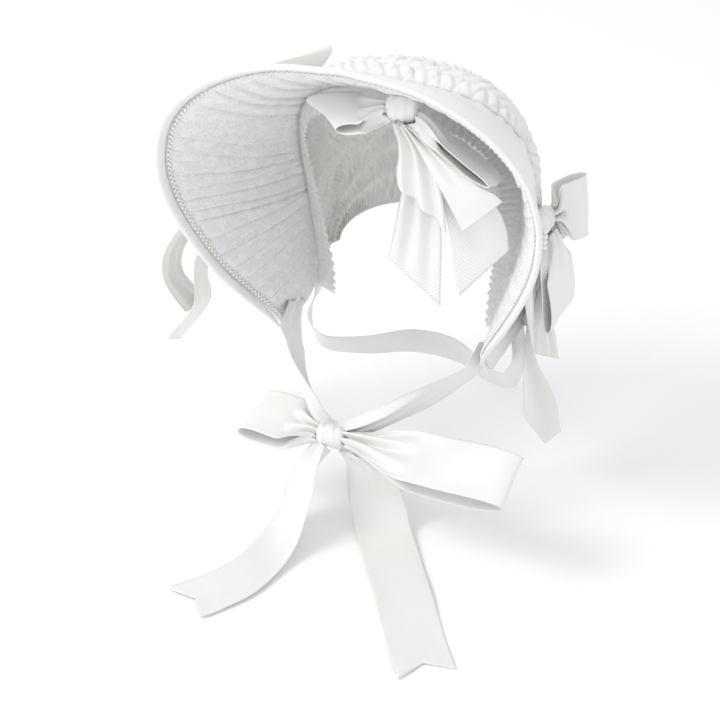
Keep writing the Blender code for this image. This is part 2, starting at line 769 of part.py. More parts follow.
def main():
    """Build every piece."""
    clear_scene()
    parts_collection()
    frame = brim_frame()
    shell = build_brim(frame)
    build_binding(frame)
    build_bead_line(frame)
    lining = build_lining(frame)
    frill = build_frill(frame)
    crown = build_crown(frame)
    body = [shell, crown]

    knot = build_knot("inner_knot", INNER_BOW)
    seat(knot, (0, 0, 1), lining, frill)
    build_bow("inner", knot, [lining, frill], INNER_LOOPS, INNER_TAILS)

    left = build_knot("left_knot", SIDE_BOW, 90)
    seat(left, (-1, 0, 0), *body)
    pieces = build_bow("left", left, body, LEFT_LOOPS, LEFT_TAILS)
    build_side_pearls(left, pieces)

    right = build_knot("right_knot", Vector((-SIDE_BOW.x, SIDE_BOW.y, SIDE_BOW.z)), 90)
    seat(right, (1, 0, 0), *body)
    build_bow("right", right, body, RIGHT_LOOPS, RIGHT_TAILS, -1)

    strap = build_chin_strap(lining)
    chin = build_knot("chin_knot", CHIN_BOW)
    seat(chin, (0, 1, 0), strap)
    build_bow("chin", chin, [strap], CHIN_LOOPS, CHIN_TAILS)
    build_nape_ribbon(crown)


main()
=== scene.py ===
"""Poke bonnet: the finished cloth, lace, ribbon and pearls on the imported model.

Metres, +Z up. The wearer looks along -Y and the wearer's left is +X. Stations of the brim run
from the lower right corner (side -1) over the top (side 0) to the lower left corner (side 1).
"""

import math
from collections import namedtuple

import bmesh
import bpy
from mathutils import Matrix, Vector, noise


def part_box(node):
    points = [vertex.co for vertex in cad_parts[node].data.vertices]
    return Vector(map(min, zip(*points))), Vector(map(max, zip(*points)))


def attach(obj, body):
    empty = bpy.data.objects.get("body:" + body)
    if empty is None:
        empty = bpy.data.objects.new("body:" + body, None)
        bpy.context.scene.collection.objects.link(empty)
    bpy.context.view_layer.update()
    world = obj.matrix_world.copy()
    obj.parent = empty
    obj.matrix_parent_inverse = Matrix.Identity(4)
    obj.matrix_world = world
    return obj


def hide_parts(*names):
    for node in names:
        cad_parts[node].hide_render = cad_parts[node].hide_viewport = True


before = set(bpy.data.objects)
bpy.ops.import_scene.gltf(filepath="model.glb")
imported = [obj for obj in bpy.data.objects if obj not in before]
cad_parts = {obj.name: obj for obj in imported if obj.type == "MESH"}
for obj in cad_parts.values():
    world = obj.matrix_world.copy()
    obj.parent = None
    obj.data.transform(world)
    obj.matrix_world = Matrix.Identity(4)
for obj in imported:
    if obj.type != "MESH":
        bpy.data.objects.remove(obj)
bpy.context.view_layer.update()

bl_info = {
    "name": "Poke Bonnet",
    "version": (1, 0, 0),
    "blender": (4, 5, 0),
    "location": "View3D > Sidebar > Bonnet",
    "description": "Dresses a poke bonnet with pleated lace, shirred cotton and satin ribbon",
    "category": "Object",
}

# Forms of the brim and crown, the same as in the solid model
BRIM_HALF_WIDTH = 0.160
BRIM_HEIGHT = 0.291
BRIM_TOP = 0.060
BRIM_REACH = 0.147
SHELL_THICKNESS = 0.003
SEAM_HALF_WIDTH = 0.106
SEAM_HEIGHT = 0.228
SEAM_TOP = 0.002
SEAM_AHEAD = 0.027
SEAM_LEAN = 0.043
CROWN_DEPTH = 0.113
CROWN_HEIGHT = 0.162
CROWN_WALL = 0.002
LINING_CLOTH = 0.0012
LINING_SAG = 0.003
LINING_LINE = 0.0165
SEAM_GAP = 0.0005
CLOTH_GAP = 0.0006

# Finished cloths: their walls, and from flower to flower in the lace
LINING_WALL = 0.0006
FRILL_WALL = 0.0005
COTTON_WALL = 0.0012
LINING_MOTIF = 0.010
FRILL_MOTIF = 0.006

# Bead string: its line inside the rim, its lift over the brim, how far each bead stands off the
# line, the share of the rim that it runs along, and its thread
BEAD_LINE = 0.0122
BEAD_LIFT = 0.0014
BEAD_SWING = 0.0010
BEAD_REACH = 0.952
THREAD_RADIUS = 0.0004

# Bow and strap sizes, the same as in the solid model
KNOT_WIDTH = 0.024
KNOT_HEIGHT = 0.021
KNOT_DEPTH = 0.016
KNOT_SWELL = 1.08
NAPE_RIBBON_WIDTH = 0.024
RIBBON_CLOTH = 0.0012
CHIN_DROP = 0.287
CHIN_AHEAD = 0.122
CHIN_SIDE = 0.020
CHIN_TAIL = 0.280
CHIN_TAIL_SHORT = 0.215
CHIN_TAIL_DROP = 0.083
INNER_TAIL = 0.130
SIDE_TAIL = 0.215
STRAP_START = (-0.012, 0.027, 0.017)
NAPE_START = (-0.012, 0.020, 0.012)
NAPE_BACK = 0.037
NAPE_DROP = 0.086

# Floor, and the photo's camera: what it looks at, the way back to it and how far it is
FLOOR_LEVEL = -0.3708
FLOOR_HALF = 6.0
CAMERA_TARGET = Vector((0.0128, -0.1375, -0.1942))
CAMERA_BACK = Vector((0.33136, -0.78063, 0.52992))
CAMERA_DISTANCE = 1.6
CAMERA_LENS = 98.77
LIGHT_TARGET = Vector((0.0, -0.08, -0.15))

Light = namedtuple("Light", "name place size power")
LIGHTS = [
    Light("window_light", Vector((-1.5, -1.3, 1.7)), 1.2, 27),
    Light("fill_light", Vector((0.9, -2.0, 0.2)), 1.6, 2),
]

Edge = namedtuple("Edge", "across down along")

# Half of the rim, from the top to the lower corner: shares of the half width, the height
# and the reach ahead
RIM = [
    Edge(0.000, 0.000, 1.000),
    Edge(0.388, 0.024, 1.006),
    Edge(0.700, 0.096, 1.014),
    Edge(0.912, 0.203, 1.014),
    Edge(1.000, 0.330, 1.000),
    Edge(0.994, 0.464, 0.966),
    Edge(0.919, 0.591, 0.905),
    Edge(0.800, 0.725, 0.816),
    Edge(0.688, 0.835, 0.694),
    Edge(0.606, 0.928, 0.565),
    Edge(0.600, 1.000, 0.442),
]

# Half of the seam: shares of its half width, its height and its lean to the back
SEAM = [
    Edge(0.000, 0.000, 0.000),
    Edge(0.302, 0.009, 0.047),
    Edge(0.594, 0.048, 0.163),
    Edge(0.830, 0.127, 0.326),
    Edge(0.953, 0.232, 0.512),
    Edge(1.000, 0.351, 0.698),
    Edge(1.000, 0.478, 0.837),
    Edge(0.981, 0.614, 0.930),
    Edge(0.962, 0.746, 0.977),
    Edge(0.943, 0.877, 1.000),
    Edge(0.934, 1.000, 0.977),
]

Row = namedtuple("Row", "back down end_back end_up width")

# Crown rows from the seam to the nape: the middle's place as shares of the crown's depth and
# height, the lower ends' place as shares of the same, and the half width as a share of the seam's
CROWN = [
    Row(0.000, 0.000, 0.000, 0.000, 1.000),
    Row(0.150, -0.026, 0.045, 0.020, 1.012),
    Row(0.330, -0.008, 0.100, 0.040, 1.010),
    Row(0.500, 0.042, 0.150, 0.055, 1.000),
    Row(0.660, 0.118, 0.190, 0.070, 0.990),
    Row(0.795, 0.215, 0.230, 0.080, 0.978),
    Row(0.900, 0.330, 0.265, 0.092, 0.965),
    Row(0.965, 0.480, 0.290, 0.105, 0.940),
    Row(1.000, 0.640, 0.310, 0.118, 0.912),
    Row(0.990, 0.820, 0.330, 0.135, 0.880),
    Row(0.950, 1.000, 0.345, 0.150, 0.845),
]

Strip = namedtuple("Strip", "right ahead down heading dip share")

# Ribbon ends: the middle of the ribbon as shares of its length, and of its drop for the fall,
# then the heading and the dip of the width direction in degrees, and the share of full width
CHIN_TAIL_LEFT = [
    Strip(0.057, 0.004, 0.12, 25, -20, 0.45),
    Strip(0.121, 0.000, 0.32, 6, -19, 0.90),
    Strip(0.143, -0.014, 0.70, -14, -6, 1.00),
    Strip(0.195, 0.040, 0.97, -22, 0, 1.00),
    Strip(0.329, 0.243, 1.00, -44, 0, 1.00),
    Strip(0.461, 0.454, 1.00, -32, 0, 1.00),
    Strip(0.539, 0.571, 1.00, -39, 0, 1.00),
]
CHIN_TAIL_RIGHT = [
    Strip(-0.028, 0.050, 0.12, 50, -20, 0.45),
    Strip(-0.060, 0.076, 0.22, 48, -22, 0.80),
    Strip(-0.093, 0.116, 0.42, 36, -33, 1.00),
    Strip(-0.098, 0.167, 0.66, 32, -30, 1.00),
    Strip(-0.116, 0.275, 0.94, 38, -8, 1.00),
    Strip(-0.149, 0.507, 1.00, 46, 0, 1.00),
    Strip(-0.219, 0.651, 1.00, 52, 0, 1.00),
    Strip(-0.298, 0.753, 1.00, 34, 0, 1.00),
]
INNER_UPPER_RIGHT = [
    Strip(0.02, 0.03, 0.08, 10, 10, 0.30),
    Strip(0.10, 0.04, 0.22, 5, 0, 0.60),
    Strip(0.14, 0.04, 0.44, 0, 0, 0.80),
    Strip(0.16, 0.03, 0.61, 0, 0, 0.80),
]
INNER_UPPER_LEFT = [
    Strip(0.10, 0.09, 0.12, 6, 20, 0.30),
    Strip(0.29, 0.13, 0.26, 4, 20, 0.85),
    Strip(0.48, 0.13, 0.44, -6, 10, 1.00),
    Strip(0.59, 0.12, 0.60, -14, 0, 1.00),
]
INNER_LOWER_RIGHT = [
    Strip(0.03, -0.07, 0.11, 5, 10, 0.28),
    Strip(0.11, -0.09, 0.38, 0, 0, 0.45),
    Strip(0.11, -0.09, 0.78, 0, 0, 0.80),
    Strip(0.09, -0.08, 1.22, 0, 0, 1.00),
]
INNER_LOWER_LEFT = [
    Strip(0.08, -0.02, 0.14, 5, 10, 0.30),
    Strip(0.29, -0.03, 0.38, 0, 10, 0.85),
    Strip(0.47, -0.05, 0.68, -4, 0, 1.00),
    Strip(0.55, -0.07, 1.09, -12, 0, 1.00),
]
SIDE_TAIL_LONG = [
    Strip(-0.010, 0.025, 0.055, 84, 0, 0.35),
    Strip(-0.018, 0.050, 0.25, 84, 0, 0.75),
    Strip(-0.010, 0.055, 0.52, 62, -10, 1.00),
    Strip(0.040, 0.050, 0.78, 32, -22, 1.00),
    Strip(0.065, 0.050, 0.93, 28, -25, 1.00),
]
SIDE_TAIL_BACK = [
    Strip(0.000, -0.088, 0.035, -84, 0, 0.28),
    Strip(-0.004, -0.112, 0.28, -86, 0, 0.50),
    Strip(-0.018, -0.110, 0.50, -84, 0, 0.60),
    Strip(0.002, -0.115, 0.67, -78, 0, 0.75),
]
SIDE_TAIL_OUT = [
    Strip(0.038, 0.018, 0.00, 90, 0, 0.35),
    Strip(0.190, 0.160, 0.06, 94, -10, 0.85),
    Strip(0.325, 0.260, 0.22, 100, -22, 0.95),
    Strip(0.372, 0.275, 0.40, 98, -22, 0.95),
    Strip(0.302, 0.200, 0.585, 92, -18, 0.95),
]
SIDE_TAIL_FRONT = [
    Strip(0.045, 0.020, 0.06, 84, 0, 0.35),
    Strip(0.150, 0.130, 0.20, 88, -10, 0.80),
    Strip(0.250, 0.235, 0.31, 98, -18, 0.90),
    Strip(0.270, 0.258, 0.41, 98, -18, 0.90),
    Strip(0.272, 0.262, 0.555, 92, -18, 0.95),
    Strip(0.415, 0.252, 0.765, 84, -10, 1.00),
]

Band = namedtuple("Band", "across along down heading dip share")

# Half of each strap, from the seat on the bonnet to its middle: how much of the way across,
# along and down it has gone, then the width direction and the share of full width
CHIN_STRAP = [
    Band(0.00, 0.00, 0.00, -90, 25, 0.90),
    Band(0.04, 0.30, 0.20, -90, 36, 1.00),
    Band(0.15, 0.45, 0.33, -92, 46, 1.00),
    Band(0.35, 0.68, 0.52, -98, 52, 0.90),
    Band(0.70, 0.97, 0.78, -100, 64, 0.48),
    Band(0.90, 1.02, 0.94, -96, 76, 0.32),
    Band(1.00, 1.00, 1.00, -90, 88, 0.28),
]
NAPE_STRAP = [
    Band(0.00, 0.00, 0.00, -84, 0, 0.90),
    Band(0.04, -0.35, 0.25, -80, 0, 1.00),
    Band(-0.04, -0.62, 0.50, -68, 10, 1.00),
    Band(0.06, -0.50, 0.84, -50, 50, 1.00),
    Band(0.40, 0.28, 1.00, -30, 76, 1.00),
    Band(0.72, 0.86, 1.00, -12, 86, 1.00),
    Band(1.00, 1.00, 1.00, 0, 89, 1.00),
]

Loop = namedtuple("Loop", "node out across reach puff arch twist slant pinch")
Tail = namedtuple("Tail", "node rows length drop cut side dots")

# Ribbon loops of each bow: which way the loop and its width point, its reach, its opening, how
# far its middle arches to the side, how many degrees its width has turned at the far end, how
# far one edge runs ahead there as a share of the ribbon, and the share of its width at the knot
CHIN_LOOPS = [
    Loop(
        "chin_loop_left", (0.98, -0.17, 0.10), (0.30, -0.85, -0.43), 0.160,
        0.030, 0.008, 0, 0, 0.3,
    ),
    Loop("chin_loop_right", (-0.98, 0.16, -0.06), (0, -0.95, -0.28), 0.067, 0.024, 0, 0, 0, 0.3),
]
INNER_LOOPS = [
    Loop(
        "inner_loop_right", (-0.95, -0.05, -0.22), (0.55, -0.80, -0.02), 0.054,
        0.012, 0, 0, 0.42, 0.3,
    ),
    Loop("inner_loop_left", (0.88, -0.10, -0.46), (0.05, -0.90, 0.30), 0.078, 0.009, 0, 0, 0, 0.3),
]
SIDE_LOOPS = [
    Loop(
        "left_loop_back", (0.55, 0.80, 0.12), (0.10, -0.40, -0.90), 0.030,
        0.028, 0, 0, 0.14, 0.7,
    ),
    Loop(
        "left_loop_low", (0.12, 0.12, -0.98), (0.12, 0.98, -0.05), 0.084,
        0.009, 0.003, 0, 0, 0.3,
    ),
    Loop(
        "right_loop_top", (0.15, 0.15, 0.98), (0.15, 0.98, 0.00), 0.094,
        0.014, 0.016, -32, -0.14, 0.3,
    ),
    Loop(
        "right_loop_back", (-0.55, 0.80, -0.12), (-0.10, -0.40, -0.90), 0.036,
        0.022, 0, 0, 0, 0.3,
    ),
]

# Free ends of each bow. The cut is how far the two corners and the middle run on, as shares of
# the ribbon's width, and dots is how plainly the openwork weave shows
CHIN_TAILS = [
    Tail(
        "chin_tail_left", CHIN_TAIL_LEFT, CHIN_TAIL, CHIN_TAIL_DROP,
        (0.06, -0.22, 0.06), 1, 0.05,
    ),
    Tail(
        "chin_tail_right", CHIN_TAIL_RIGHT, CHIN_TAIL_SHORT, CHIN_TAIL_DROP,
        (0.10, -0.18, 0.00), 1, 0.05,
    ),
]
INNER_TAILS = [
    Tail(
        "inner_tail_upper_right", INNER_UPPER_RIGHT, INNER_TAIL, INNER_TAIL,
        (-0.35, 0.0, 0.35), 1, 0.06,
    ),
    Tail(
        "inner_tail_upper_left", INNER_UPPER_LEFT, INNER_TAIL, INNER_TAIL,
        (0.35, 0.0, -0.35), 1, 0.06,
    ),
    Tail(
        "inner_tail_lower_right", INNER_LOWER_RIGHT, INNER_TAIL, INNER_TAIL,
        (-0.35, 0.0, 0.35), 1, 0.7,
    ),
    Tail(
        "inner_tail_lower_left", INNER_LOWER_LEFT, INNER_TAIL, INNER_TAIL,
        (0.50, 0.0, -0.50), 1, 0.7,
    ),
]
SIDE_TAILS = [
    Tail("left_tail_long", SIDE_TAIL_LONG, SIDE_TAIL, SIDE_TAIL, (-0.30, 0.25, -0.05), 1, 0.02),
    Tail("left_tail_back", SIDE_TAIL_BACK, SIDE_TAIL, SIDE_TAIL, (-0.25, 0.0, 0.25), 1, 0.02),
    Tail("right_tail_out", SIDE_TAIL_OUT, SIDE_TAIL, SIDE_TAIL, (0.0, 0.0, 0.0), -1, 0.02),
    Tail("right_tail_front", SIDE_TAIL_FRONT, SIDE_TAIL, SIDE_TAIL, (0.30, 0.0, -0.30), -1, 0.02),
]


def linear(hex_colour):
    """An sRGB hex colour as three linear values."""
    parts = [int(hex_colour[i:i + 2], 16) / 255 for i in (1, 3, 5)]
    return tuple(p / 12.92 if p <= 0.04045 else ((p + 0.055) / 1.055) ** 2.4 for p in parts)


def length_property(name, description, default):
    """A size in metres that the user may change."""
    return bpy.props.FloatProperty(
        name=name, description=description, default=default, min=0.0001, unit="LENGTH",
        precision=4,
    )


def colour_property(name, description, hex_colour):
    """A colour that the user may change."""
    return bpy.props.FloatVectorProperty(
        name=name, description=description, default=linear(hex_colour), size=3, min=0.0, max=1.0,
        subtype="COLOR",
    )


class BonnetSizes(bpy.types.PropertyGroup):
    """Sizes of the bonnet's cloth and trimmings."""

    ribbon_width: length_property("Ribbon width", "Width of the satin ribbon", 0.048)
    ribbon_cloth: length_property("Ribbon thickness", "Thickness of the satin ribbon", 0.0007)
    binding_width: length_property("Binding width", "Across the rolled satin edge", 0.010)
    binding_thickness: length_property("Binding thickness", "Through the rolled edge", 0.0055)
    bead_diameter: length_property("Bead", "Diameter of the beads on the brim", 0.0026)
    bead_pitch: length_property("Bead pitch", "Along the brim from bead to bead", 0.0022)
    pearl_diameter: length_property("Pearl", "Diameter of the pearls at the side bow", 0.005)
    puff: length_property("Puff", "How far the crown stands out between its rows", 0.0060)
    pleat_depth: length_property("Pleat depth", "Depth of the folds in the lining", 0.0040)
    frill_width: length_property("Frill width", "Depth of the lace frill", 0.022)
    frill_wave: length_property("Frill wave", "Half the depth of the frill's gathers", 0.0022)
    puff_rows: bpy.props.IntProperty(
        name="Puff rows", description="Puffed rows in the crown", default=9, min=3, max=20
    )


class BonnetColours(bpy.types.PropertyGroup):
    """Colours of the bonnet's materials and of the floor."""

    satin: colour_property("Satin", "Ribbon, brim cover and binding", "#EFEEEB")
    cotton: colour_property("Cotton", "Shirred crown", "#F0EFEC")
    lace: colour_property("Lace", "Raised threads of the lace", "#FBFBFA")
    net: colour_property("Net", "Ground between the lace threads", "#E2E2E2")
    pearl: colour_property("Pearl", "Beads and pearls", "#F7F5F0")
    floor: colour_property("Floor", "Floor under the bonnet", "#FFFFFF")


def sizes():
    """The sizes in use."""
    return bpy.context.scene.bonnet_sizes


def colours():
    """The colours in use."""
    return bpy.context.scene.bonnet_colours


# Curves and small helpers


def curve_at(rows, share):
    """The place at a share of the way along a smooth curve through the rows."""
    spot = min(max(share, 0.0), 1.0) * (len(rows) - 1)
    first = min(int(spot), len(rows) - 2)
    t = spot - first
    start, end = Vector(rows[first]), Vector(rows[first + 1])
    before = Vector(rows[first - 1]) if first else 2 * start - end
    after = Vector(rows[first + 2]) if first + 2 < len(rows) else 2 * end - start
    bend = 2 * before - 5 * start + 4 * end - after
    turn = 3 * start - before - 3 * end + after
    return start + ((end - before) * t + bend * t * t + turn * t ** 3) / 2


def ease(share):
    """A smooth rise from 0 to 1."""
    share = min(max(share, 0.0), 1.0)
    return share * share * (3 - 2 * share)


def ripple(x, y, seed):
    """Smooth irregular values from about -1 to 1."""
    return noise.noise(Vector((x, y, 7.3 * seed)))


def heading(degrees, dip):
    """Unit vector at a heading from +X towards -Y, falling by the dip."""
    turn, fall = math.radians(degrees), math.radians(dip)
    return Vector(
        (math.cos(turn) * math.cos(fall), -math.sin(turn) * math.cos(fall), -math.sin(fall))
    )


def rim_point(side):
    """The outer edge of the brim."""
    across, down, along = curve_at(RIM, abs(side))
    x = math.copysign(across, side) * BRIM_HALF_WIDTH
    return Vector((x, -along * BRIM_REACH, BRIM_TOP - down * BRIM_HEIGHT))


def seam_point(side):
    """The seam that joins the brim to the crown."""
    across, down, along = curve_at(SEAM, abs(side))
    x = math.copysign(across, side) * SEAM_HALF_WIDTH
    return Vector((x, along * SEAM_LEAN - SEAM_AHEAD, SEAM_TOP - down * SEAM_HEIGHT))


Station = namedtuple("Station", "side front way length inward")


def station(side):
    """The rim point, the way back to the seam, its length and the inside of the brim."""
    before, after = max(side - 0.02, -1.0), min(side + 0.02, 1.0)
    front, back = rim_point(side), seam_point(side)
    along = rim_point(after) - rim_point(before) + seam_point(after) - seam_point(before)
    way = back - front
    return Station(side, front, way.normalized(), way.length, way.cross(along).normalized())


def stations(count, reach=1.0):
    """Evenly numbered stations from the lower right corner to the lower left one."""
    return [station(reach * (2 * i / count - 1)) for i in range(count + 1)]


def run_lengths(points):
    """How far along the line each point lies."""
    runs = [0.0]
    for first, second in zip(points, points[1:]):
        runs.append(runs[-1] + (second - first).length)
    return runs


def flat_size(lines):
    """The size the cloth was cut to: its mean width and length, measured along its folds."""
    wide = sum(run_lengths(line)[-1] for line in lines) / len(lines)
    columns = list(zip(*lines))
    return wide, sum(run_lengths(column)[-1] for column in columns) / len(columns)


# Pieces


def new_piece(name, shape, material, node):
    """Make a finished object of a shape, riding on the bonnet in place of its node."""
    mesh = bpy.data.meshes.new(name)
    shape.to_mesh(mesh)
    shape.free()
    for face in mesh.polygons:
        face.use_smooth = True
    mesh.materials.append(material)
    piece = bpy.data.objects.new(name, mesh)
    bpy.context.scene.collection.objects.link(piece)
    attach(piece, "root")
    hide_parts(node)
    return piece


def grid_shape(lines, flat):
    """A grid of cloth through lines of points, with its flat size in metres as UV map."""
    across, along = len(lines[0]) - 1, len(lines) - 1
    runs = run_lengths([line[len(line) // 2] for line in lines])
    shape = bmesh.new()
    flat_map = shape.loops.layers.uv.new("UVMap")
    bmesh.ops.create_grid(shape, x_segments=across, y_segments=along, size=0.5)
    for face in shape.faces:
        for corner in face.loops:
            place = corner.vert.co
            run = runs[round((place.y + 0.5) * along)] / runs[-1]
            corner[flat_map].uv = ((place.x + 0.5) * flat[0], run * flat[1])
    for vert in shape.verts:
        i, j = round((vert.co.x + 0.5) * across), round((vert.co.y + 0.5) * along)
        vert.co = lines[j][i]
    return shape


def new_cloth(name, lines, material, node, slot, thickness, flat=None, **facts):
    """A sheet of cloth through the lines, in place of its node: its wall, and how it was cut. How
    it is held is given but not used. Its flat size is measured along its folds where it isn't
    given."""
    flat = flat or flat_size(lines)
    piece = new_piece(name, grid_shape(lines, flat), material, node)
    modifier = piece.modifiers.new("wall", "SOLIDIFY")
    modifier.thickness = thickness
    modifier.offset = 0.0
    return piece


def to_node(lines, node):
    """Move the lines so that the middle of their box is the middle of the node's box."""
    low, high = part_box(node)
    every = [point for line in lines for point in line]
    for axis in range(3):
        values = [point[axis] for point in every]
        shift = (low[axis] + high[axis] - min(values) - max(values)) / 2
        for point in every:
            point[axis] += shift
    return lines


# Materials

# Pitches at which the weaves are drawn, metres
DOT_PITCH = 0.0028
RIB_PITCH = 0.0010
THREAD_PITCH = 0.0008
NET_MESH = 0.0014


def fresh(name):
    """A new node material, its tree, its shader and the coordinates that it can read."""
    material = bpy.data.materials.new(name)
    material.use_nodes = True
    tree = material.node_tree
    place = tree.nodes.new("ShaderNodeTexCoord").outputs
    return material, tree, tree.nodes["Principled BSDF"], place


def add_node(tree, kind, inputs=None, **settings):
    """Add a node with its settings; an input is a value, or the socket that feeds it."""
    made = tree.nodes.new(kind)
    for name, value in settings.items():
        setattr(made, name, value)
    for key, value in (inputs or {}).items():
        if isinstance(value, bpy.types.NodeSocket):
            tree.links.new(value, made.inputs[key])
        else:
            made.inputs[key].default_value = value
    return made


def finish_shader(tree, shader, base, tints, reliefs, values):
    """Lay the tints over the base colour, stack the reliefs and set the constant values. A tint
    is its share and its colour. A relief is its height, its strength, which is below 0 where it
    is pressed in, and its depth in metres."""
    tone = (*base, 1)
    for share, colour in tints:
        tone = add_node(
            tree, "ShaderNodeMix", {0: share, 6: tone, 7: (*colour, 1)}, data_type="RGBA",
        ).outputs[2]
    tree.links.new(tone, shader.inputs["Base Color"])
    under = {}
    for height, strength, depth in reliefs:
        bump = add_node(
            tree, "ShaderNodeBump",
            {"Height": height, "Strength": abs(strength), "Distance": depth, **under},
            invert=strength < 0,
        )
        under = {"Normal": bump.outputs[0]}
    if under:
        tree.links.new(under["Normal"], shader.inputs["Normal"])
    for name, value in values.items():
        shader.inputs[name].default_value = value


def darker(colour, share):
    """A share of a colour."""
    return tuple(share * part for part in colour)


def woven_satin(name, dots):
    """Polyester satin ribbon, woven: long floats give a soft sheen along the ribbon, with a
    cross rib every 0.5 mm drawn at 1 mm, and an openwork dot every 2.8 mm where it has any."""
    material, tree, shader, place = fresh(name)
    split = add_node(tree, "ShaderNodeSeparateXYZ", {0: place["UV"]})
    waves = []
    for axis in ("X", "Y"):
        angle = add_node(
            tree, "ShaderNodeMath", {0: split.outputs[axis], 1: 2 * math.pi / DOT_PITCH},
            operation="MULTIPLY",
        )
        waves.append(add_node(tree, "ShaderNodeMath", {0: angle.outputs[0]}, operation="COSINE"))
    lattice = add_node(
        tree, "ShaderNodeMath", {0: waves[0].outputs[0], 1: waves[1].outputs[0]},
        operation="MULTIPLY",
    )
    holes = add_node(
        tree, "ShaderNodeMapRange", {0: lattice.outputs[0], 1: 0.30, 2: 0.75, 3: 0.0, 4: dots},
        interpolation_type="SMOOTHSTEP",
    )
    rib = add_node(
        tree, "ShaderNodeTexWave",
        {"Vector": place["UV"], "Scale": 1 / (2 * math.pi * RIB_PITCH),
         "Distortion": 0.6, "Detail": 1.0},
        bands_direction="Y",
    )
    crumple = add_node(
        tree, "ShaderNodeTexNoise",
        {"Vector": place["Object"], "Scale": 34.0, "Detail": 3.0, "Roughness": 0.5},
    )
    satin = colours().satin
    finish_shader(
        tree, shader, darker(satin, 0.965),
        [(crumple.outputs[0], satin), (holes.outputs[0], darker(satin, 0.78))],
        [(crumple.outputs[0], 0.25, 0.002), (rib.outputs["Fac"], 0.10, 0.0002),
         (holes.outputs[0], -0.4, 0.0003)],
        {"Roughness": 0.31, "IOR": 1.5, "Specular IOR Level": 0.8, "Sheen Weight": 0.1,
         "Sheen Roughness": 0.4, "Anisotropic": 0.45},
    )
    return material


def cotton_lawn(name):
    """Cotton lawn, plain woven: matt and fine, with a thread every 0.4 mm drawn at 0.8 mm."""
    material, tree, shader, place = fresh(name)
    heights = []
    for direction in ("X", "Y"):
        heights.append(add_node(
            tree, "ShaderNodeTexWave",
            {"Vector": place["UV"], "Scale": 1 / (2 * math.pi * THREAD_PITCH),
             "Distortion": 1.5, "Detail": 1.0},
            bands_direction=direction,
        ))
    weave = add_node(
        tree, "ShaderNodeMath", {0: heights[0].outputs["Fac"], 1: heights[1].outputs["Fac"]},
        operation="MULTIPLY",
    )
    wrinkle = add_node(
        tree, "ShaderNodeTexNoise",
        {"Vector": place["Object"], "Scale": 140.0, "Detail": 4.0, "Roughness": 0.6},
    )
    cotton = colours().cotton
    finish_shader(
        tree, shader, darker(cotton, 0.95), [(wrinkle.outputs[0], cotton)],
        [(wrinkle.outputs[0], 0.35, 0.0012), (weave.outputs[0], 0.25, 0.0002)],
        {"Roughness": 0.82, "IOR": 1.5, "Sheen Weight": 0.25, "Sheen Roughness": 0.5},
    )
    return material


def floral_lace(name, motif):
    """Machine-made lace over cloth: corded five-petal flowers and tendrils on a fine net, so the
    ground reads greyer than the threads. The net's 0.9 mm meshes are drawn at 1.4 mm."""
    material, tree, shader, place = fresh(name)
    place = place["UV"]
    flower = add_node(
        tree, "ShaderNodeTexVoronoi", {"Vector": place, "Scale": 1 / motif, "Randomness": 0.75},
    ).outputs
    arm = add_node(
        tree, "ShaderNodeVectorMath", {0: place, 1: flower["Position"]}, operation="SUBTRACT",
    )
    arm = add_node(tree, "ShaderNodeSeparateXYZ", {0: arm.outputs[0]}).outputs
    curl = add_node(
        tree, "ShaderNodeTexNoise",
        {"Vector": place, "Scale": 0.9 / motif, "Detail": 1.0, "Roughness": 0.3},
    )
    spun = add_node(
        tree, "ShaderNodeTexNoise",
        {"Vector": place, "Scale": 420.0, "Detail": 2.0, "Roughness": 0.6},
    )
    mesh = add_node(
        tree, "ShaderNodeTexVoronoi", {"Vector": place, "Scale": 1 / NET_MESH, "Randomness": 0.25},
        feature="DISTANCE_TO_EDGE",
    )
    found = {
        "x": arm["X"], "y": arm["Y"], "colour": flower["Color"], "reach": flower["Distance"],
        "curl": curl.outputs[0], "spun": spun.outputs[0], "mesh": mesh.outputs["Distance"],
    }
    # Outline of the five petals, and how far a point lies from it and from a tendril's line
    for key, operation, first, second in (
        ("angle", "ARCTAN2", "y", "x"),
        ("turned", "ADD", "angle", "colour"),
        ("phase", "MULTIPLY", "turned", 2.5),
        ("wave", "COSINE", "phase", 0.0),
        ("petal", "ABSOLUTE", "wave", 0.0),
        ("bulge", "MULTIPLY", "petal", 0.20),
        ("outline", "ADD", "bulge", 0.22),
        ("away", "SUBTRACT", "reach", "outline"),
        ("near", "ABSOLUTE", "away", 0.0),
        ("bend", "SUBTRACT", "curl", 0.5),
        ("line", "ABSOLUTE", "bend", 0.0),
    ):
        made = add_node(
            tree, "ShaderNodeMath", {0: found[first], 1: found.get(second, second)},
            operation=operation,
        )
        found[key] = made.outputs[0]
    # Each kind of thread: where it has its full height, where it ends, and that height
    relief = 0.0
    for key, full, none, high in (
        ("near", 0.02, 0.07, 1.0),
        ("away", -0.05, 0.0, 0.55),
        ("reach", 0.07, 0.12, 0.95),
        ("line", 0.006, 0.034, 0.6),
        ("mesh", 0.06, 0.22, 0.40),
        ("spun", 0.66, 0.42, 0.75),
    ):
        part = add_node(
            tree, "ShaderNodeMapRange",
            {0: found[key], 1: full, 2: none, 3: high, 4: 0.0},
            interpolation_type="LINEAR" if key == "spun" else "SMOOTHSTEP",
        )
        relief = add_node(
            tree, "ShaderNodeMath", {0: part.outputs[0], 1: relief}, operation="MAXIMUM",
        ).outputs[0]
    finish_shader(
        tree, shader, colours().net, [(relief, colours().lace)], [(relief, 0.5, 0.0005)],
        {"Roughness": 0.78, "IOR": 1.5, "Sheen Weight": 0.2, "Sheen Roughness": 0.5},
    )
    return material


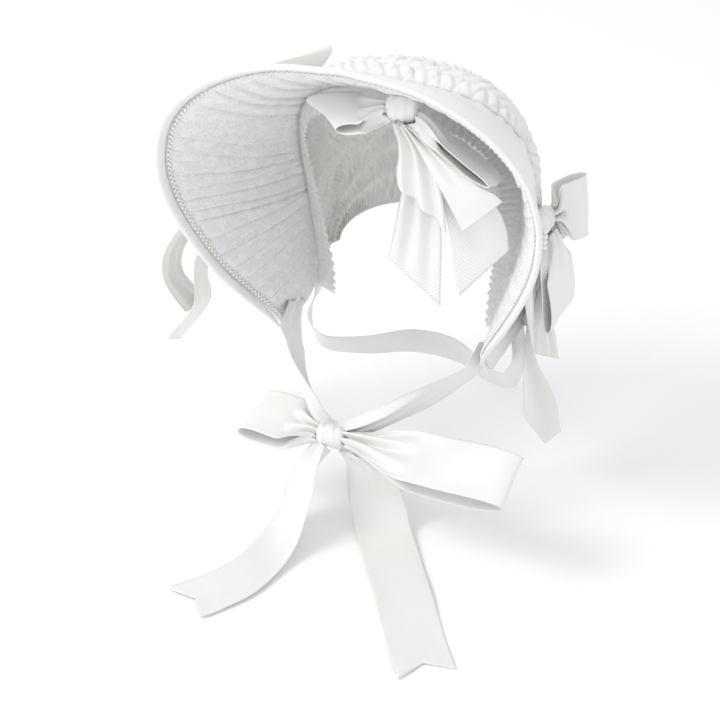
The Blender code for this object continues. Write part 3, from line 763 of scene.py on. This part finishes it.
def imitation_pearl(name):
    """Moulded bead with a pearl lacquer: a clear gloss over a soft cream glow."""
    material, tree, shader, place = fresh(name)
    cloud = add_node(
        tree, "ShaderNodeTexNoise",
        {"Vector": place["Object"], "Scale": 900.0, "Detail": 1.0},
    )
    pearl = colours().pearl
    finish_shader(
        tree, shader, darker(pearl, 0.93), [(cloud.outputs[0], pearl)],
        [(cloud.outputs[0], 0.05, 0.0002)],
        {"Roughness": 0.25, "IOR": 1.52, "Coat Weight": 0.6, "Coat Roughness": 0.12},
    )
    return material


def painted_floor(name):
    """Matt painted board: pale and even, with a faint mottle."""
    material, tree, shader, place = fresh(name)
    mottle = add_node(tree, "ShaderNodeTexNoise", {"Vector": place["Object"], "Scale": 8.0})
    paint = colours().floor
    finish_shader(
        tree, shader, darker(paint, 0.99), [(mottle.outputs[0], paint)], [],
        {"Roughness": 0.9, "Specular IOR Level": 0.1},
    )
    return material


# Brim

# The cover lies this far behind the brim's line, with pulls at the seam and a soft unevenness
COVER_DROP = 0.0004
PULL_DEPTH = 0.0020
SOFT_DEPTH = 0.0005


def build_brim():
    """Stiff satin-covered brim, with faint pulls where the cover meets the crown."""
    start = sizes().binding_width + SEAM_GAP
    lines = []
    steps = 26
    for k in range(steps + 1):
        share = k / steps
        line = []
        for spot in stations(240):
            ridge = max(0.0, 1 - 4 * abs(ripple(spot.side * 22, share * 0.9, 1)))
            pull = PULL_DEPTH * ease((share - 0.30) / 0.70) * ridge
            soft = SOFT_DEPTH * ripple(spot.side * 5, share * 3, 2)
            stop = start + (spot.length - start) * share
            drop = max(0.0, COVER_DROP + pull + soft)
            line.append(spot.front + spot.way * stop - spot.inward * drop)
        lines.append(line)
    return new_cloth(
        "satin_brim", lines, woven_satin("cover_satin", 0.0), "brim_shell", "satin",
        SHELL_THICKNESS, held="stretched",
    )


def tube_shape(rings, flat):
    """A tube through rings of points, closed at both ends."""
    shape = grid_shape([ring + ring[:1] for ring in rings], flat)
    bmesh.ops.remove_doubles(shape, verts=shape.verts, dist=1e-6)
    bmesh.ops.holes_fill(shape, edges=[e for e in shape.edges if e.is_boundary], sides=0)
    bmesh.ops.recalc_face_normals(shape, faces=shape.faces)
    return shape


def build_binding():
    """Rolled satin edge all round the brim, with the small slanting drags of a bias strip."""
    width, thickness = sizes().binding_width / 2, sizes().binding_thickness / 2
    count, around = 620, 24
    rings = []
    for i, spot in enumerate(stations(count)):
        size = min(1.0, 0.35 + 6.4 * min(i, count - i) / count)
        ring = []
        for k in range(around):
            angle = 2 * math.pi * k / around
            drag = ripple(spot.side * 85 + 1.6 * math.sin(angle), 2 * math.cos(angle), 3)
            fat = size * (0.98 + 0.05 * drag) - 0.01
            wide = math.copysign(abs(math.cos(angle)) ** 0.8, math.cos(angle))
            thick = math.copysign(abs(math.sin(angle)) ** 0.8, math.sin(angle))
            middle = spot.front + spot.way * sizes().binding_width / 2
            ring.append(
                middle + spot.way * fat * width * wide + spot.inward * fat * thickness * thick
            )
        rings.append(ring)
    girth = run_lengths(rings[count // 2] + rings[count // 2][:1])[-1]
    length = run_lengths([ring[0] for ring in rings])[-1]
    piece = new_piece(
        "rolled_binding", tube_shape(rings, (girth, length)), woven_satin("bias_satin", 0.0),
        "rim_binding",
    )
    return piece


def add_bead(shape, middle, radius, rings=6, segments=8):
    """One bead of a string."""
    bmesh.ops.create_uvsphere(
        shape, u_segments=segments, v_segments=rings, radius=radius,
        matrix=Matrix.Translation(middle),
    )


def add_thread(shape, points, radius):
    """A thin thread from point to point, as short six-sided lengths."""
    for first, second in zip(points, points[1:]):
        way = second - first
        turn = way.to_track_quat("Z", "Y").to_matrix().to_4x4()
        bmesh.ops.create_cone(
            shape, cap_ends=True, segments=6, radius1=radius, radius2=radius,
            depth=way.length, matrix=Matrix.Translation((first + second) / 2) @ turn,
        )


def bead_centres(points, pitch):
    """Places at an even pitch along the points."""
    runs = run_lengths(points)
    count = round(runs[-1] / pitch)
    centres, k = [], 0
    for i in range(count + 1):
        goal = runs[-1] * i / count
        while k < len(runs) - 2 and runs[k + 1] < goal:
            k += 1
        share = (goal - runs[k]) / (runs[k + 1] - runs[k])
        centres.append(points[k].lerp(points[k + 1], share))
    return centres


def build_beads():
    """The string of pearl beads just inside the rolled edge, on its thread, from side to side."""
    radius = sizes().bead_diameter / 2
    lift = SHELL_THICKNESS / 2 + CLOTH_GAP + BEAD_LIFT
    points = [
        spot.front + spot.way * BEAD_LINE + spot.inward * lift
        for spot in stations(700, BEAD_REACH)
    ]
    centres = bead_centres(points, sizes().bead_pitch)
    ways = [spot.way for spot in stations(len(centres) - 1, BEAD_REACH)]
    for i, (centre, way) in enumerate(zip(centres, ways)):
        centre += way * BEAD_SWING * (-1) ** i
    shape = bmesh.new()
    for centre in centres:
        add_bead(shape, centre, radius)
    add_thread(shape, centres, THREAD_RADIUS)
    return new_piece("bead_string", shape, imitation_pearl("bead_lacquer"), "bead_line")


# Lining and frill

# Folds of the lining: where each starts at the rim and how far down it has drifted at the seam,
# as shares of the way from the top to the lower corner, and how deep it is
Fold = namedtuple("Fold", "start drift depth")
FOLDS = [
    Fold(0.030, 0.02, 0.55), Fold(0.070, 0.04, 0.80), Fold(0.108, 0.07, 0.60),
    Fold(0.142, 0.10, 0.95), Fold(0.178, 0.14, 0.85), Fold(0.215, 0.14, 0.60),
    Fold(0.262, 0.14, 0.50), Fold(0.320, 0.15, 1.00), Fold(0.362, 0.15, 0.40),
    Fold(0.400, 0.15, 0.95), Fold(0.428, 0.13, 0.75), Fold(0.466, 0.11, 0.45),
    Fold(0.505, 0.09, 1.00), Fold(0.535, 0.09, 0.50), Fold(0.565, 0.10, 0.90),
    Fold(0.592, 0.09, 0.80), Fold(0.640, 0.05, 1.00), Fold(0.682, 0.04, 0.70),
    Fold(0.722, 0.03, 0.90), Fold(0.765, 0.02, 0.75), Fold(0.810, 0.01, 0.90),
    Fold(0.855, 0.01, 0.65), Fold(0.900, 0.00, 0.80), Fold(0.950, 0.00, 0.60),
]

# How far a fold leans over in metres, half a crease's width, and where the high side changes
LEDGE = 0.0010
CREASE = 0.0045
TURNING = 0.30

# The lining's edge under the beads: how far before its line it dips, and its lift there
TUCK = 0.0015
TUCK_LIFT = 0.0002

# The frill's scallops, how much shorter than its full width it is drawn, and its curl
SCALLOP = 0.0010
FRILL_TRIM = 0.002
FRILL_CURL = 0.0012


def pleat_at(place, share):
    """Height of the folds from 0 to 1, and how far they lean over the crease below them. Their
    high side is the upper one near the top and the lower one further down."""
    before = 0.0
    for fold in FOLDS:
        spot = fold.start + fold.drift * share
        if place <= spot:
            t = max(0.0, place - before) / (spot - before)
            wide = CREASE * (1.5 if fold.start < TURNING else 1.0)
            body = 0.40 + 0.60 * (1 - t if fold.start < TURNING else t) ** 1.4
            body *= 0.55 + 0.45 * fold.depth
            upper, lower = ease((place - before) / wide), ease((spot - place) / wide)
            sharp = 1 - fold.depth * (1 - min(upper, lower) ** 0.7)
            lean = ease((t - 0.5) / 0.4) * lower if fold.start > TURNING else 0.0
            return body * sharp, fold.depth * lean
        before = spot
    return 0.5, 0.0


def build_lining():
    """Lace-covered lining in folds that run from the rim to the seam, with its edge turned
    under the beads."""
    lift = SHELL_THICKNESS / 2 + CLOTH_GAP + LINING_CLOTH / 2
    steps, count = 26, 1360
    lines = []
    spots = stations(count)
    ends = [spots[min(i + 1, count)].front - spots[max(i - 1, 0)].front for i in range(count + 1)]
    for stop in (sizes().binding_width + CLOTH_GAP, LINING_LINE - TUCK):
        height = SHELL_THICKNESS / 2 + TUCK_LIFT
        lines.append([spot.front + spot.way * stop + spot.inward * height for spot in spots])
    for k in range(steps + 1):
        share = (k / steps) ** 1.2
        root = ease(share / 0.06)
        line = []
        for spot, along in zip(spots, ends):
            wander = 0.007 * ripple(spot.side * 3, share * 2.2, 4) * math.sin(math.pi * share)
            fold, lean = pleat_at(abs(spot.side) + wander, share)
            small = 0.16 * ripple(spot.side * 60, share * 1.8, 5)
            fine = 0.10 * abs(ripple(spot.side * 190, share * 3.4, 6))
            pucker = 0.30 * (1 - root) * ripple(spot.side * 120, 0.0, 7)
            strength = 0.50 + 0.30 * root + 0.20 * math.sin(math.pi * min(1.0, share * 1.1))
            height = sizes().pleat_depth * max(0.0, (fold + small + fine) * strength + pucker)
            height += LINING_SAG * math.sin(math.pi * share)
            stop = LINING_LINE + (spot.length - LINING_LINE) * share
            ledge = along.normalized() * LEDGE * lean * math.copysign(1.0, spot.side)
            line.append(spot.front + spot.way * stop + spot.inward * (lift + height) + ledge)
        lines.append(line)
    return new_cloth(
        "pleated_lining", lines, floral_lace("lining_lace", LINING_MOTIF), "brim_lining", "lace",
        LINING_WALL, held="gathered",
    )


def build_frill():
    """Gathered lace frill with a scalloped edge, inwards from the seam round the opening."""
    width, wave = sizes().frill_width, sizes().frill_wave
    lift = SHELL_THICKNESS / 2 + LINING_CLOTH + 2 * CLOTH_GAP + 0.7 * sizes().pleat_depth
    steps, count, gathers = 9, 1500, 76
    lines = []
    spots = stations(count)
    for k in range(steps + 1):
        share = k / steps
        line = []
        for spot in spots:
            turn = gathers * (spot.side + 1) / 2 + 0.5 * ripple(spot.side * 9, 0, 8)
            turn *= 2 * math.pi
            size = 0.75 + 0.4 * ripple(spot.side * 21, 1.0, 9)
            size *= 0.10 + 0.90 * ease((1 - abs(spot.side)) / 0.6)
            swing = 0.55 * wave * size * math.sin(turn) * share ** 0.8
            scallop = SCALLOP * abs(math.sin(2.0 * turn)) * (1.0 if k == steps else 0.0)
            reach = (width - FRILL_TRIM + scallop) * share
            root = spot.front + spot.way * (spot.length - wave) + spot.inward * lift
            curl = FRILL_CURL * math.cos(turn) * share ** 2
            line.append(
                root + spot.inward * (reach + curl) - spot.way * (0.55 * reach + swing)
            )
        lines.append(line)
    return new_cloth(
        "lace_frill", lines, floral_lace("frill_lace", FRILL_MOTIF), "opening_frill", "lace",
        FRILL_WALL, held="gathered", rests_on=["pleated_lining"],
    )


# Crown

# Along a row, from small fold to small fold and how that changes by row, from cross crease to
# cross crease, and from stitch to stitch
FOLD_PITCH = 0.0092
FOLD_CHANGE = 0.0012
CROSS_PITCH = 0.0150
STITCH_PITCH = 0.0052


def crown_line(share, count):
    """One line of the crown from the lower right end over the top to the lower left end."""
    row = Row(*curve_at(CROWN, share))
    blend = ease(share / 0.70)
    top = Vector((0, row.back * CROWN_DEPTH - SEAM_AHEAD, SEAM_TOP - row.down * CROWN_HEIGHT))
    end_y = SEAM[-1].along * SEAM_LEAN - SEAM_AHEAD + row.end_back * CROWN_DEPTH
    end_z = SEAM_TOP - SEAM_HEIGHT + row.end_up * CROWN_HEIGHT
    line = []
    for i in range(count + 1):
        side = 2 * i / count - 1
        across, down, along = curve_at(SEAM, abs(side))
        angle = math.pi / 2 * abs(side)
        wide = across * (1 - blend) + math.sin(angle) * blend
        fall = down * (1 - blend) + (1 - math.cos(angle)) * blend
        back = along / SEAM[-1].along * (1 - blend) + (1 - math.cos(angle)) * blend
        x = math.copysign(wide * row.width * SEAM_HALF_WIDTH, side)
        y = top.y + (end_y - top.y) * back
        line.append(Vector((x, y, top.z + (end_z - top.z) * fall)))
    return line


def valley(x, wide):
    """Depth of sharp creases at every whole number, so wide on each side."""
    return max(0.0, 1 - abs(x - round(x)) / wide) ** 1.6


def leaf(x, drop=0.24):
    """Small folds that rise slowly and drop at every whole number."""
    t = x - math.floor(x)
    if t < 1 - drop:
        return math.sin(math.pi / 2 * t / (1 - drop))
    return 1 - ease((t - 1 + drop) / drop)


def puff_height(run, row, inner):
    """How far a puffed row stands out: run along it in metres, inner from 0 to 1 across it."""
    swell = max(0.0, math.sin(math.pi * inner)) ** 0.6
    slant = (1.0 + 1.1 * ripple(run * 14, 3.3 * row, 15)) * (-1) ** row
    bend = 1.5 * ripple(run * 30, row * 1.7, 11)
    pitch = FOLD_PITCH + FOLD_CHANGE * math.sin(2.3 * row)
    at = run / pitch + slant * (inner - 0.5) + bend
    depth = 0.46 + 0.45 * ripple(run * 80, row * 2.7, 16)
    folds = 1 - depth + depth * leaf(at + 0.37 * row)
    cross = valley(run / CROSS_PITCH - 0.9 * slant * inner + 0.71 * row - bend, 0.14)
    lump = 0.86 + 0.55 * ripple(run * 30, row * 1.9, 12)
    fine = 0.20 * abs(ripple(run * 130 + inner * 2.5, inner * 3 + row * 3.1, 13))
    gather = valley(run / STITCH_PITCH + 0.8 * ripple(run * 60, row, 14), 0.5)
    tight = (1 - swell) * (0.16 - 0.22 * gather)
    return swell * lump * folds * (1 - 0.40 * cross) + fine * swell + tight


def build_crown():
    """Crown gathered on threads in puffed rows that run parallel to the brim seam."""
    rows, puff = sizes().puff_rows, sizes().puff
    steps, count = 10 * rows, 500
    gap = SEAM_GAP + CROWN_WALL / 2
    grid = [crown_line(k / steps, count) for k in range(steps + 1)]
    ways = [spot.way for spot in stations(count)]
    grid = [[point + way * gap for point, way in zip(line, ways)] for line in grid]
    runs = run_lengths(grid[steps // 3])
    lines = []
    for k, line in enumerate(grid):
        before, after = grid[max(k - 1, 0)], grid[min(k + 1, steps)]
        puffed = []
        for i, point in enumerate(line):
            along = line[min(i + 1, count)] - line[max(i - 1, 0)]
            out = along.cross(after[i] - before[i]).normalized()
            place = rows * k / steps
            wander = 0.30 * ripple(runs[i] * 16, place * 0.4, 17)
            place += wander * ease(place) * ease(rows - place)
            row = min(int(place), rows - 1)
            inner = place - row
            height = puff_height(runs[i], row, inner) * puff
            puffed.append(point + out * height)
        lines.append(puffed)
    return new_cloth(
        "shirred_crown", lines, cotton_lawn("crown_cotton"), "crown", "cotton", COTTON_WALL,
        held="gathered", rests_on=["satin_brim"],
    )


# Ribbons

# Folds from a ribbon's middle to its edge, the depth of its gathers, drags, soft bends and
# camber, and how much of its end, beyond the cut itself, is drawn along to shape the cut
FOLDS_ACROSS = 2.5
NAPE_FOLDS = 1.5
GATHER_DEPTH = 0.0064
DRAG_DEPTH = 0.0012
BEND_DEPTH = 0.0026
TAIL_CAMBER = 0.0006
CUT_REACH = 0.022

# How plainly the openwork weave shows in loops and straps
FAINT_DOTS = 0.03


def ribbon_lines(rows, gathers, camber, seed):
    """Lines of a ribbon from its middle and half width at each row, gathered where narrow."""
    across = 28
    runs = run_lengths([row[0] for row in rows])
    lines = []
    for i, (middle, half, share) in enumerate(rows):
        before, after = rows[max(i - 1, 0)][0], rows[min(i + 1, len(rows) - 1)][0]
        face = half.cross(after - before).normalized()
        tight = max(0.0, 1 - share)
        line = []
        for k in range(across + 1):
            u = 2 * k / across - 1
            phase = math.pi * gathers * u + seed + 0.7 * ripple(u * 1.5, i * 0.01, seed + 2)
            fold = math.sin(phase) * GATHER_DEPTH * tight ** 0.5
            drag = DRAG_DEPTH * tight ** 0.5 * ripple(u * 2.4, i * 0.02, seed)
            soft = BEND_DEPTH * ripple(u * 0.7, runs[i] * 24, seed + 5)
            line.append(middle + half * u + face * (fold + drag + soft + camber * (1 - u * u)))
        lines.append(line)
    return lines


def build_ribbon(node, lines, dots, held, rests_on, width):
    """A satin ribbon through the lines, cut to its own width and the length of its middle."""
    length = run_lengths([line[len(line) // 2] for line in lines])[-1]
    return new_cloth(
        f"ribbon_{node}", lines, woven_satin(f"ribbon_satin_{node}", dots), node, "satin",
        sizes().ribbon_cloth, flat=(width, length), held=held, rests_on=rests_on,
    )


def build_loop(loop, rests_on):
    """A bow loop: out from the knot, round its far end and back, pinched at the knot."""
    out = Vector(loop.out).normalized()
    across = Vector(loop.across)
    across = (across - out * across.dot(out)).normalized()
    face = out.cross(across)
    steps = 84
    pinch = RIBBON_CLOTH / 2 + CLOTH_GAP
    rows = []
    for i in range(steps + 1):
        angle = 2 * math.pi * i / steps
        along = (1 - math.cos(angle)) / 2
        side = math.sin(angle) * (0.3 + 0.7 * along) * loop.puff / 2
        side += (1 - along) * (pinch if i < steps / 2 else -pinch)
        side += loop.arch * math.sin(math.pi * along)
        share = 0.3 + 0.7 * ease(along * (0.9 + 5 * loop.pinch))
        middle = out * loop.reach * along + face * side
        turned = Matrix.Rotation(math.radians(loop.twist * along), 3, out) @ across
        half = (turned * share / 2 - out * loop.slant * along) * sizes().ribbon_width
        rows.append((middle, half, share))
    lines = to_node(ribbon_lines(rows, FOLDS_ACROSS, 0.0, len(loop.node)), loop.node)
    return build_ribbon(loop.node, lines, FAINT_DOTS, "folded", rests_on, sizes().ribbon_width)


def build_tail(tail, rests_on, held="hung"):
    """A free ribbon end that falls from the knot, with its cut end."""
    table = []
    for row in tail.rows:
        middle = Vector((tail.side * row.right, -row.ahead, 0)) * tail.length
        middle.z = -row.down * tail.drop
        way = heading(row.heading, row.dip) * sizes().ribbon_width / 2 * row.share
        table.append((*middle, tail.side * way.x, way.y, way.z, row.share))
    steps = 70
    rows = []
    for i in range(steps + 1):
        spot = curve_at(table, i / steps)
        rows.append((Vector(spot[:3]), Vector(spot[3:6]), spot[6]))
    lines = ribbon_lines(rows, FOLDS_ACROSS, TAIL_CAMBER, len(tail.node) + tail.length * 9)
    way = (rows[-1][0] - rows[-3][0]).normalized()
    reach = CUT_REACH + max(abs(more) for more in tail.cut) * sizes().ribbon_width
    runs = run_lengths([row[0] for row in rows])
    for run, line in zip(runs, lines):
        pull = max(0.0, 1 - (runs[-1] - run) / reach)
        for k, point in enumerate(line):
            u = 2 * k / (len(line) - 1) - 1
            corner = tail.cut[0] if u < 0 else tail.cut[2]
            more = tail.cut[1] + (corner - tail.cut[1]) * abs(u)
            point += way * sizes().ribbon_width * more * pull
    lines = to_node(lines, tail.node)
    for line in lines:
        for point in line:
            point.z = max(point.z, FLOOR_LEVEL + sizes().ribbon_cloth / 2)
    return build_ribbon(tail.node, lines, tail.dots, held, rests_on, sizes().ribbon_width)


def build_knot(node, turned=False):
    """The wrapped middle of a bow: a band of ribbon with folds that run round it."""
    low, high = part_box(node)
    shape = bmesh.new()
    shape.loops.layers.uv.new("UVMap")
    bmesh.ops.create_uvsphere(shape, u_segments=48, v_segments=44, radius=1.0, calc_uvs=True)
    for vert in shape.verts:
        lat, angle = vert.co.z, math.atan2(vert.co.y, vert.co.x)
        barrel = max(0.0, 1 - abs(lat) ** 7.0) ** (1 / 3.0) * (1 - 0.10 * lat * lat)
        wrap = 1 - 0.08 * valley(1.3 * lat + 0.25 * math.sin(angle + 0.6) + 0.35, 0.30)
        lumps = 0.98 + 0.05 * ripple(lat * 2.5, math.sin(angle), 21)
        size = KNOT_SWELL * barrel * wrap * lumps
        deep = KNOT_DEPTH / 2 * size * math.cos(angle)
        high_up = KNOT_HEIGHT / 2 * size * math.sin(angle)
        along = KNOT_SWELL * lat * KNOT_WIDTH / 2
        vert.co = Vector((-deep, along, high_up)) if turned else Vector((along, deep, high_up))
    bmesh.ops.translate(shape, verts=shape.verts, vec=(low + high) / 2)
    bmesh.ops.recalc_face_normals(shape, faces=shape.faces)
    satin = woven_satin(f"knot_satin_{node}", 0.0)
    piece = new_piece(f"wrapped_{node}", shape, satin, node)
    return piece


def build_strap(node, start, end, bands, width, gathers):
    """A ribbon between two mirrored seats inside the bonnet, by way of its lowest point."""
    halves = []
    for side in (1, -1):
        table = []
        for band in bands:
            x = side * start.x + (end.x - side * start.x) * band.across
            y = start.y + (end.y - start.y) * band.along
            z = start.z + (end.z - start.z) * band.down
            half = heading(band.heading, band.dip) * width / 2 * band.share
            table.append((x, y, z, side * half.x, half.y, half.z, band.share))
        halves.append([curve_at(table, i / 60) for i in range(61)])
    table = halves[0] + halves[1][-2::-1]
    low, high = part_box(node)
    own = max(row[0] for row in table) - min(row[0] for row in table)
    spread = (high.x - low.x - own) / 2
    rows = []
    for i, spot in enumerate(table):
        middle, half = Vector(spot[:3]), Vector(spot[3:6])
        middle.x += spread * (1 - 2 * i / (len(table) - 1))
        rows.append((middle, half, spot[6]))
    lines = ribbon_lines(rows, gathers, 0.0, 3)
    return build_ribbon(node, lines, FAINT_DOTS, "hung", ["pleated_lining"], width)


def build_side_pearls():
    """Four pearls on a thread in front of the left knot."""
    low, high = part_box("left_pearls")
    radius = sizes().pearl_diameter / 2
    middle = (low + high) / 2
    pitch = 2.02 * radius
    tops = [Vector((middle.x, middle.y, high.z - radius - i * pitch)) for i in range(4)]
    shape = bmesh.new()
    for top in tops:
        add_bead(shape, top, radius, rings=12, segments=16)
    add_thread(shape, [Vector((middle.x, middle.y, high.z)), tops[-1]], THREAD_RADIUS)
    return new_piece("pearl_drop", shape, imitation_pearl("pearl_lacquer"), "left_pearls")


# Operators


class Group:
    """What the buttons share: each one runs the functions that make its group of pieces."""

    def execute(self, context):
        for make in self.makers:
            make()
        return {"FINISHED"}


class BONNET_OT_brim(Group, bpy.types.Operator):
    """Make the satin brim and its rolled edge"""

    bl_idname = "bonnet.brim"
    bl_label = "Brim"
    makers = (build_brim, build_binding)


class BONNET_OT_beads(Group, bpy.types.Operator):
    """Make the bead string and the pearl drop"""

    bl_idname = "bonnet.beads"
    bl_label = "Beads"
    makers = (build_beads, build_side_pearls)


class BONNET_OT_lining(Group, bpy.types.Operator):
    """Make the pleated lace lining and the frill"""

    bl_idname = "bonnet.lining"
    bl_label = "Lining and Frill"
    makers = (build_lining, build_frill)


class BONNET_OT_crown(Group, bpy.types.Operator):
    """Make the shirred crown"""

    bl_idname = "bonnet.crown"
    bl_label = "Crown"
    makers = (build_crown,)


class BONNET_OT_inner_bow(bpy.types.Operator):
    """Make the bow under the brim"""

    bl_idname = "bonnet.inner_bow"
    bl_label = "Inner Bow"

    def execute(self, context):
        build_knot("inner_knot")
        for loop in INNER_LOOPS:
            build_loop(loop, ["wrapped_inner_knot"])
        for tail in INNER_TAILS:
            build_tail(tail, ["wrapped_inner_knot"])
        return {"FINISHED"}


class BONNET_OT_side_bows(bpy.types.Operator):
    """Make the bows at both sides"""

    bl_idname = "bonnet.side_bows"
    bl_label = "Side Bows"

    def execute(self, context):
        build_knot("left_knot", turned=True)
        build_knot("right_knot", turned=True)
        for loop in SIDE_LOOPS:
            build_loop(loop, ["satin_brim"])
        for tail in SIDE_TAILS:
            build_tail(tail, ["satin_brim"])
        return {"FINISHED"}


class BONNET_OT_chin_tie(bpy.types.Operator):
    """Make the chin strap with its bow and the nape ribbon"""

    bl_idname = "bonnet.chin_tie"
    bl_label = "Chin Tie"

    def execute(self, context):
        end = Vector((-CHIN_SIDE, KNOT_DEPTH / 2 + RIBBON_CLOTH - CHIN_AHEAD, -CHIN_DROP))
        start = rim_point(1.0) + Vector(STRAP_START)
        build_strap("chin_strap", start, end, CHIN_STRAP, sizes().ribbon_width, FOLDS_ACROSS)
        start = seam_point(1.0) + Vector(NAPE_START)
        end = Vector((0.0, start.y + NAPE_BACK, start.z - NAPE_DROP))
        build_strap("nape_ribbon", start, end, NAPE_STRAP, NAPE_RIBBON_WIDTH, NAPE_FOLDS)
        build_knot("chin_knot")
        for loop in CHIN_LOOPS:
            build_loop(loop, ["wrapped_chin_knot"])
        for tail in CHIN_TAILS:
            build_tail(tail, ["wrapped_chin_knot", "floor"], "laid")
        return {"FINISHED"}


class BONNET_OT_stage(bpy.types.Operator):
    """Make the floor, the soft light and the camera"""

    bl_idname = "bonnet.stage"
    bl_label = "Stage"

    def execute(self, context):
        collection = context.scene.collection
        shape = bmesh.new()
        bmesh.ops.create_grid(shape, x_segments=2, y_segments=2, size=FLOOR_HALF)
        bmesh.ops.translate(shape, verts=shape.verts, vec=(0, 0, FLOOR_LEVEL))
        mesh = bpy.data.meshes.new("floor")
        shape.to_mesh(mesh)
        shape.free()
        mesh.materials.append(painted_floor("floor_paint"))
        floor = bpy.data.objects.new("floor", mesh)
        collection.objects.link(floor)

        world = bpy.data.worlds.new("soft_room")
        world.use_nodes = True
        backing = world.node_tree.nodes["Background"]
        backing.inputs["Color"].default_value = (*linear("#FDFDFF"), 1)
        backing.inputs["Strength"].default_value = 0.88
        context.scene.world = world
        for light in LIGHTS:
            data = bpy.data.lights.new(light.name, "AREA")
            data.size = light.size
            data.energy = light.power
            lamp = bpy.data.objects.new(light.name, data)
            lamp.location = light.place
            lamp.rotation_euler = (
                (LIGHT_TARGET - light.place).to_track_quat("-Z", "Y").to_euler()
            )
            collection.objects.link(lamp)

        data = bpy.data.cameras.new("photo_camera")
        data.lens = CAMERA_LENS
        data.sensor_width = 36.0
        camera = bpy.data.objects.new("photo_camera", data)
        camera.location = CAMERA_TARGET + CAMERA_BACK * CAMERA_DISTANCE
        camera.rotation_euler = (-CAMERA_BACK).to_track_quat("-Z", "Y").to_euler()
        collection.objects.link(camera)
        context.scene.camera = camera
        context.scene.view_settings.view_transform = "Standard"
        return {"FINISHED"}


class BONNET_PT_panel(bpy.types.Panel):
    """Sizes, colours and the buttons that make each group of pieces"""

    bl_idname = "BONNET_PT_panel"
    bl_label = "Poke Bonnet"
    bl_space_type = "VIEW_3D"
    bl_region_type = "UI"
    bl_category = "Bonnet"

    def draw(self, context):
        layout = self.layout
        for group in (context.scene.bonnet_sizes, context.scene.bonnet_colours):
            column = layout.column(align=True)
            for name in group.__annotations__:
                column.prop(group, name)
        column = layout.column(align=True)
        for operator in OPERATORS:
            column.operator(operator.bl_idname)


OPERATORS = [
    BONNET_OT_stage,
    BONNET_OT_brim,
    BONNET_OT_lining,
    BONNET_OT_beads,
    BONNET_OT_crown,
    BONNET_OT_inner_bow,
    BONNET_OT_side_bows,
    BONNET_OT_chin_tie,
]
CLASSES = [BonnetSizes, BonnetColours, *OPERATORS, BONNET_PT_panel]


def register():
    """Add the classes and the two groups of settings."""
    for item in CLASSES:
        bpy.utils.register_class(item)
    bpy.types.Scene.bonnet_sizes = bpy.props.PointerProperty(type=BonnetSizes)
    bpy.types.Scene.bonnet_colours = bpy.props.PointerProperty(type=BonnetColours)


def unregister():
    """Take the classes and the settings away again."""
    del bpy.types.Scene.bonnet_colours
    del bpy.types.Scene.bonnet_sizes
    for item in reversed(CLASSES):
        bpy.utils.unregister_class(item)


def main():
    """Make every piece."""
    register()
    bpy.ops.bonnet.stage()
    bpy.ops.bonnet.brim()
    bpy.ops.bonnet.lining()
    bpy.ops.bonnet.beads()
    bpy.ops.bonnet.crown()
    bpy.ops.bonnet.inner_bow()
    bpy.ops.bonnet.side_bows()
    bpy.ops.bonnet.chin_tie()


if __name__ == "__main__":
    main()
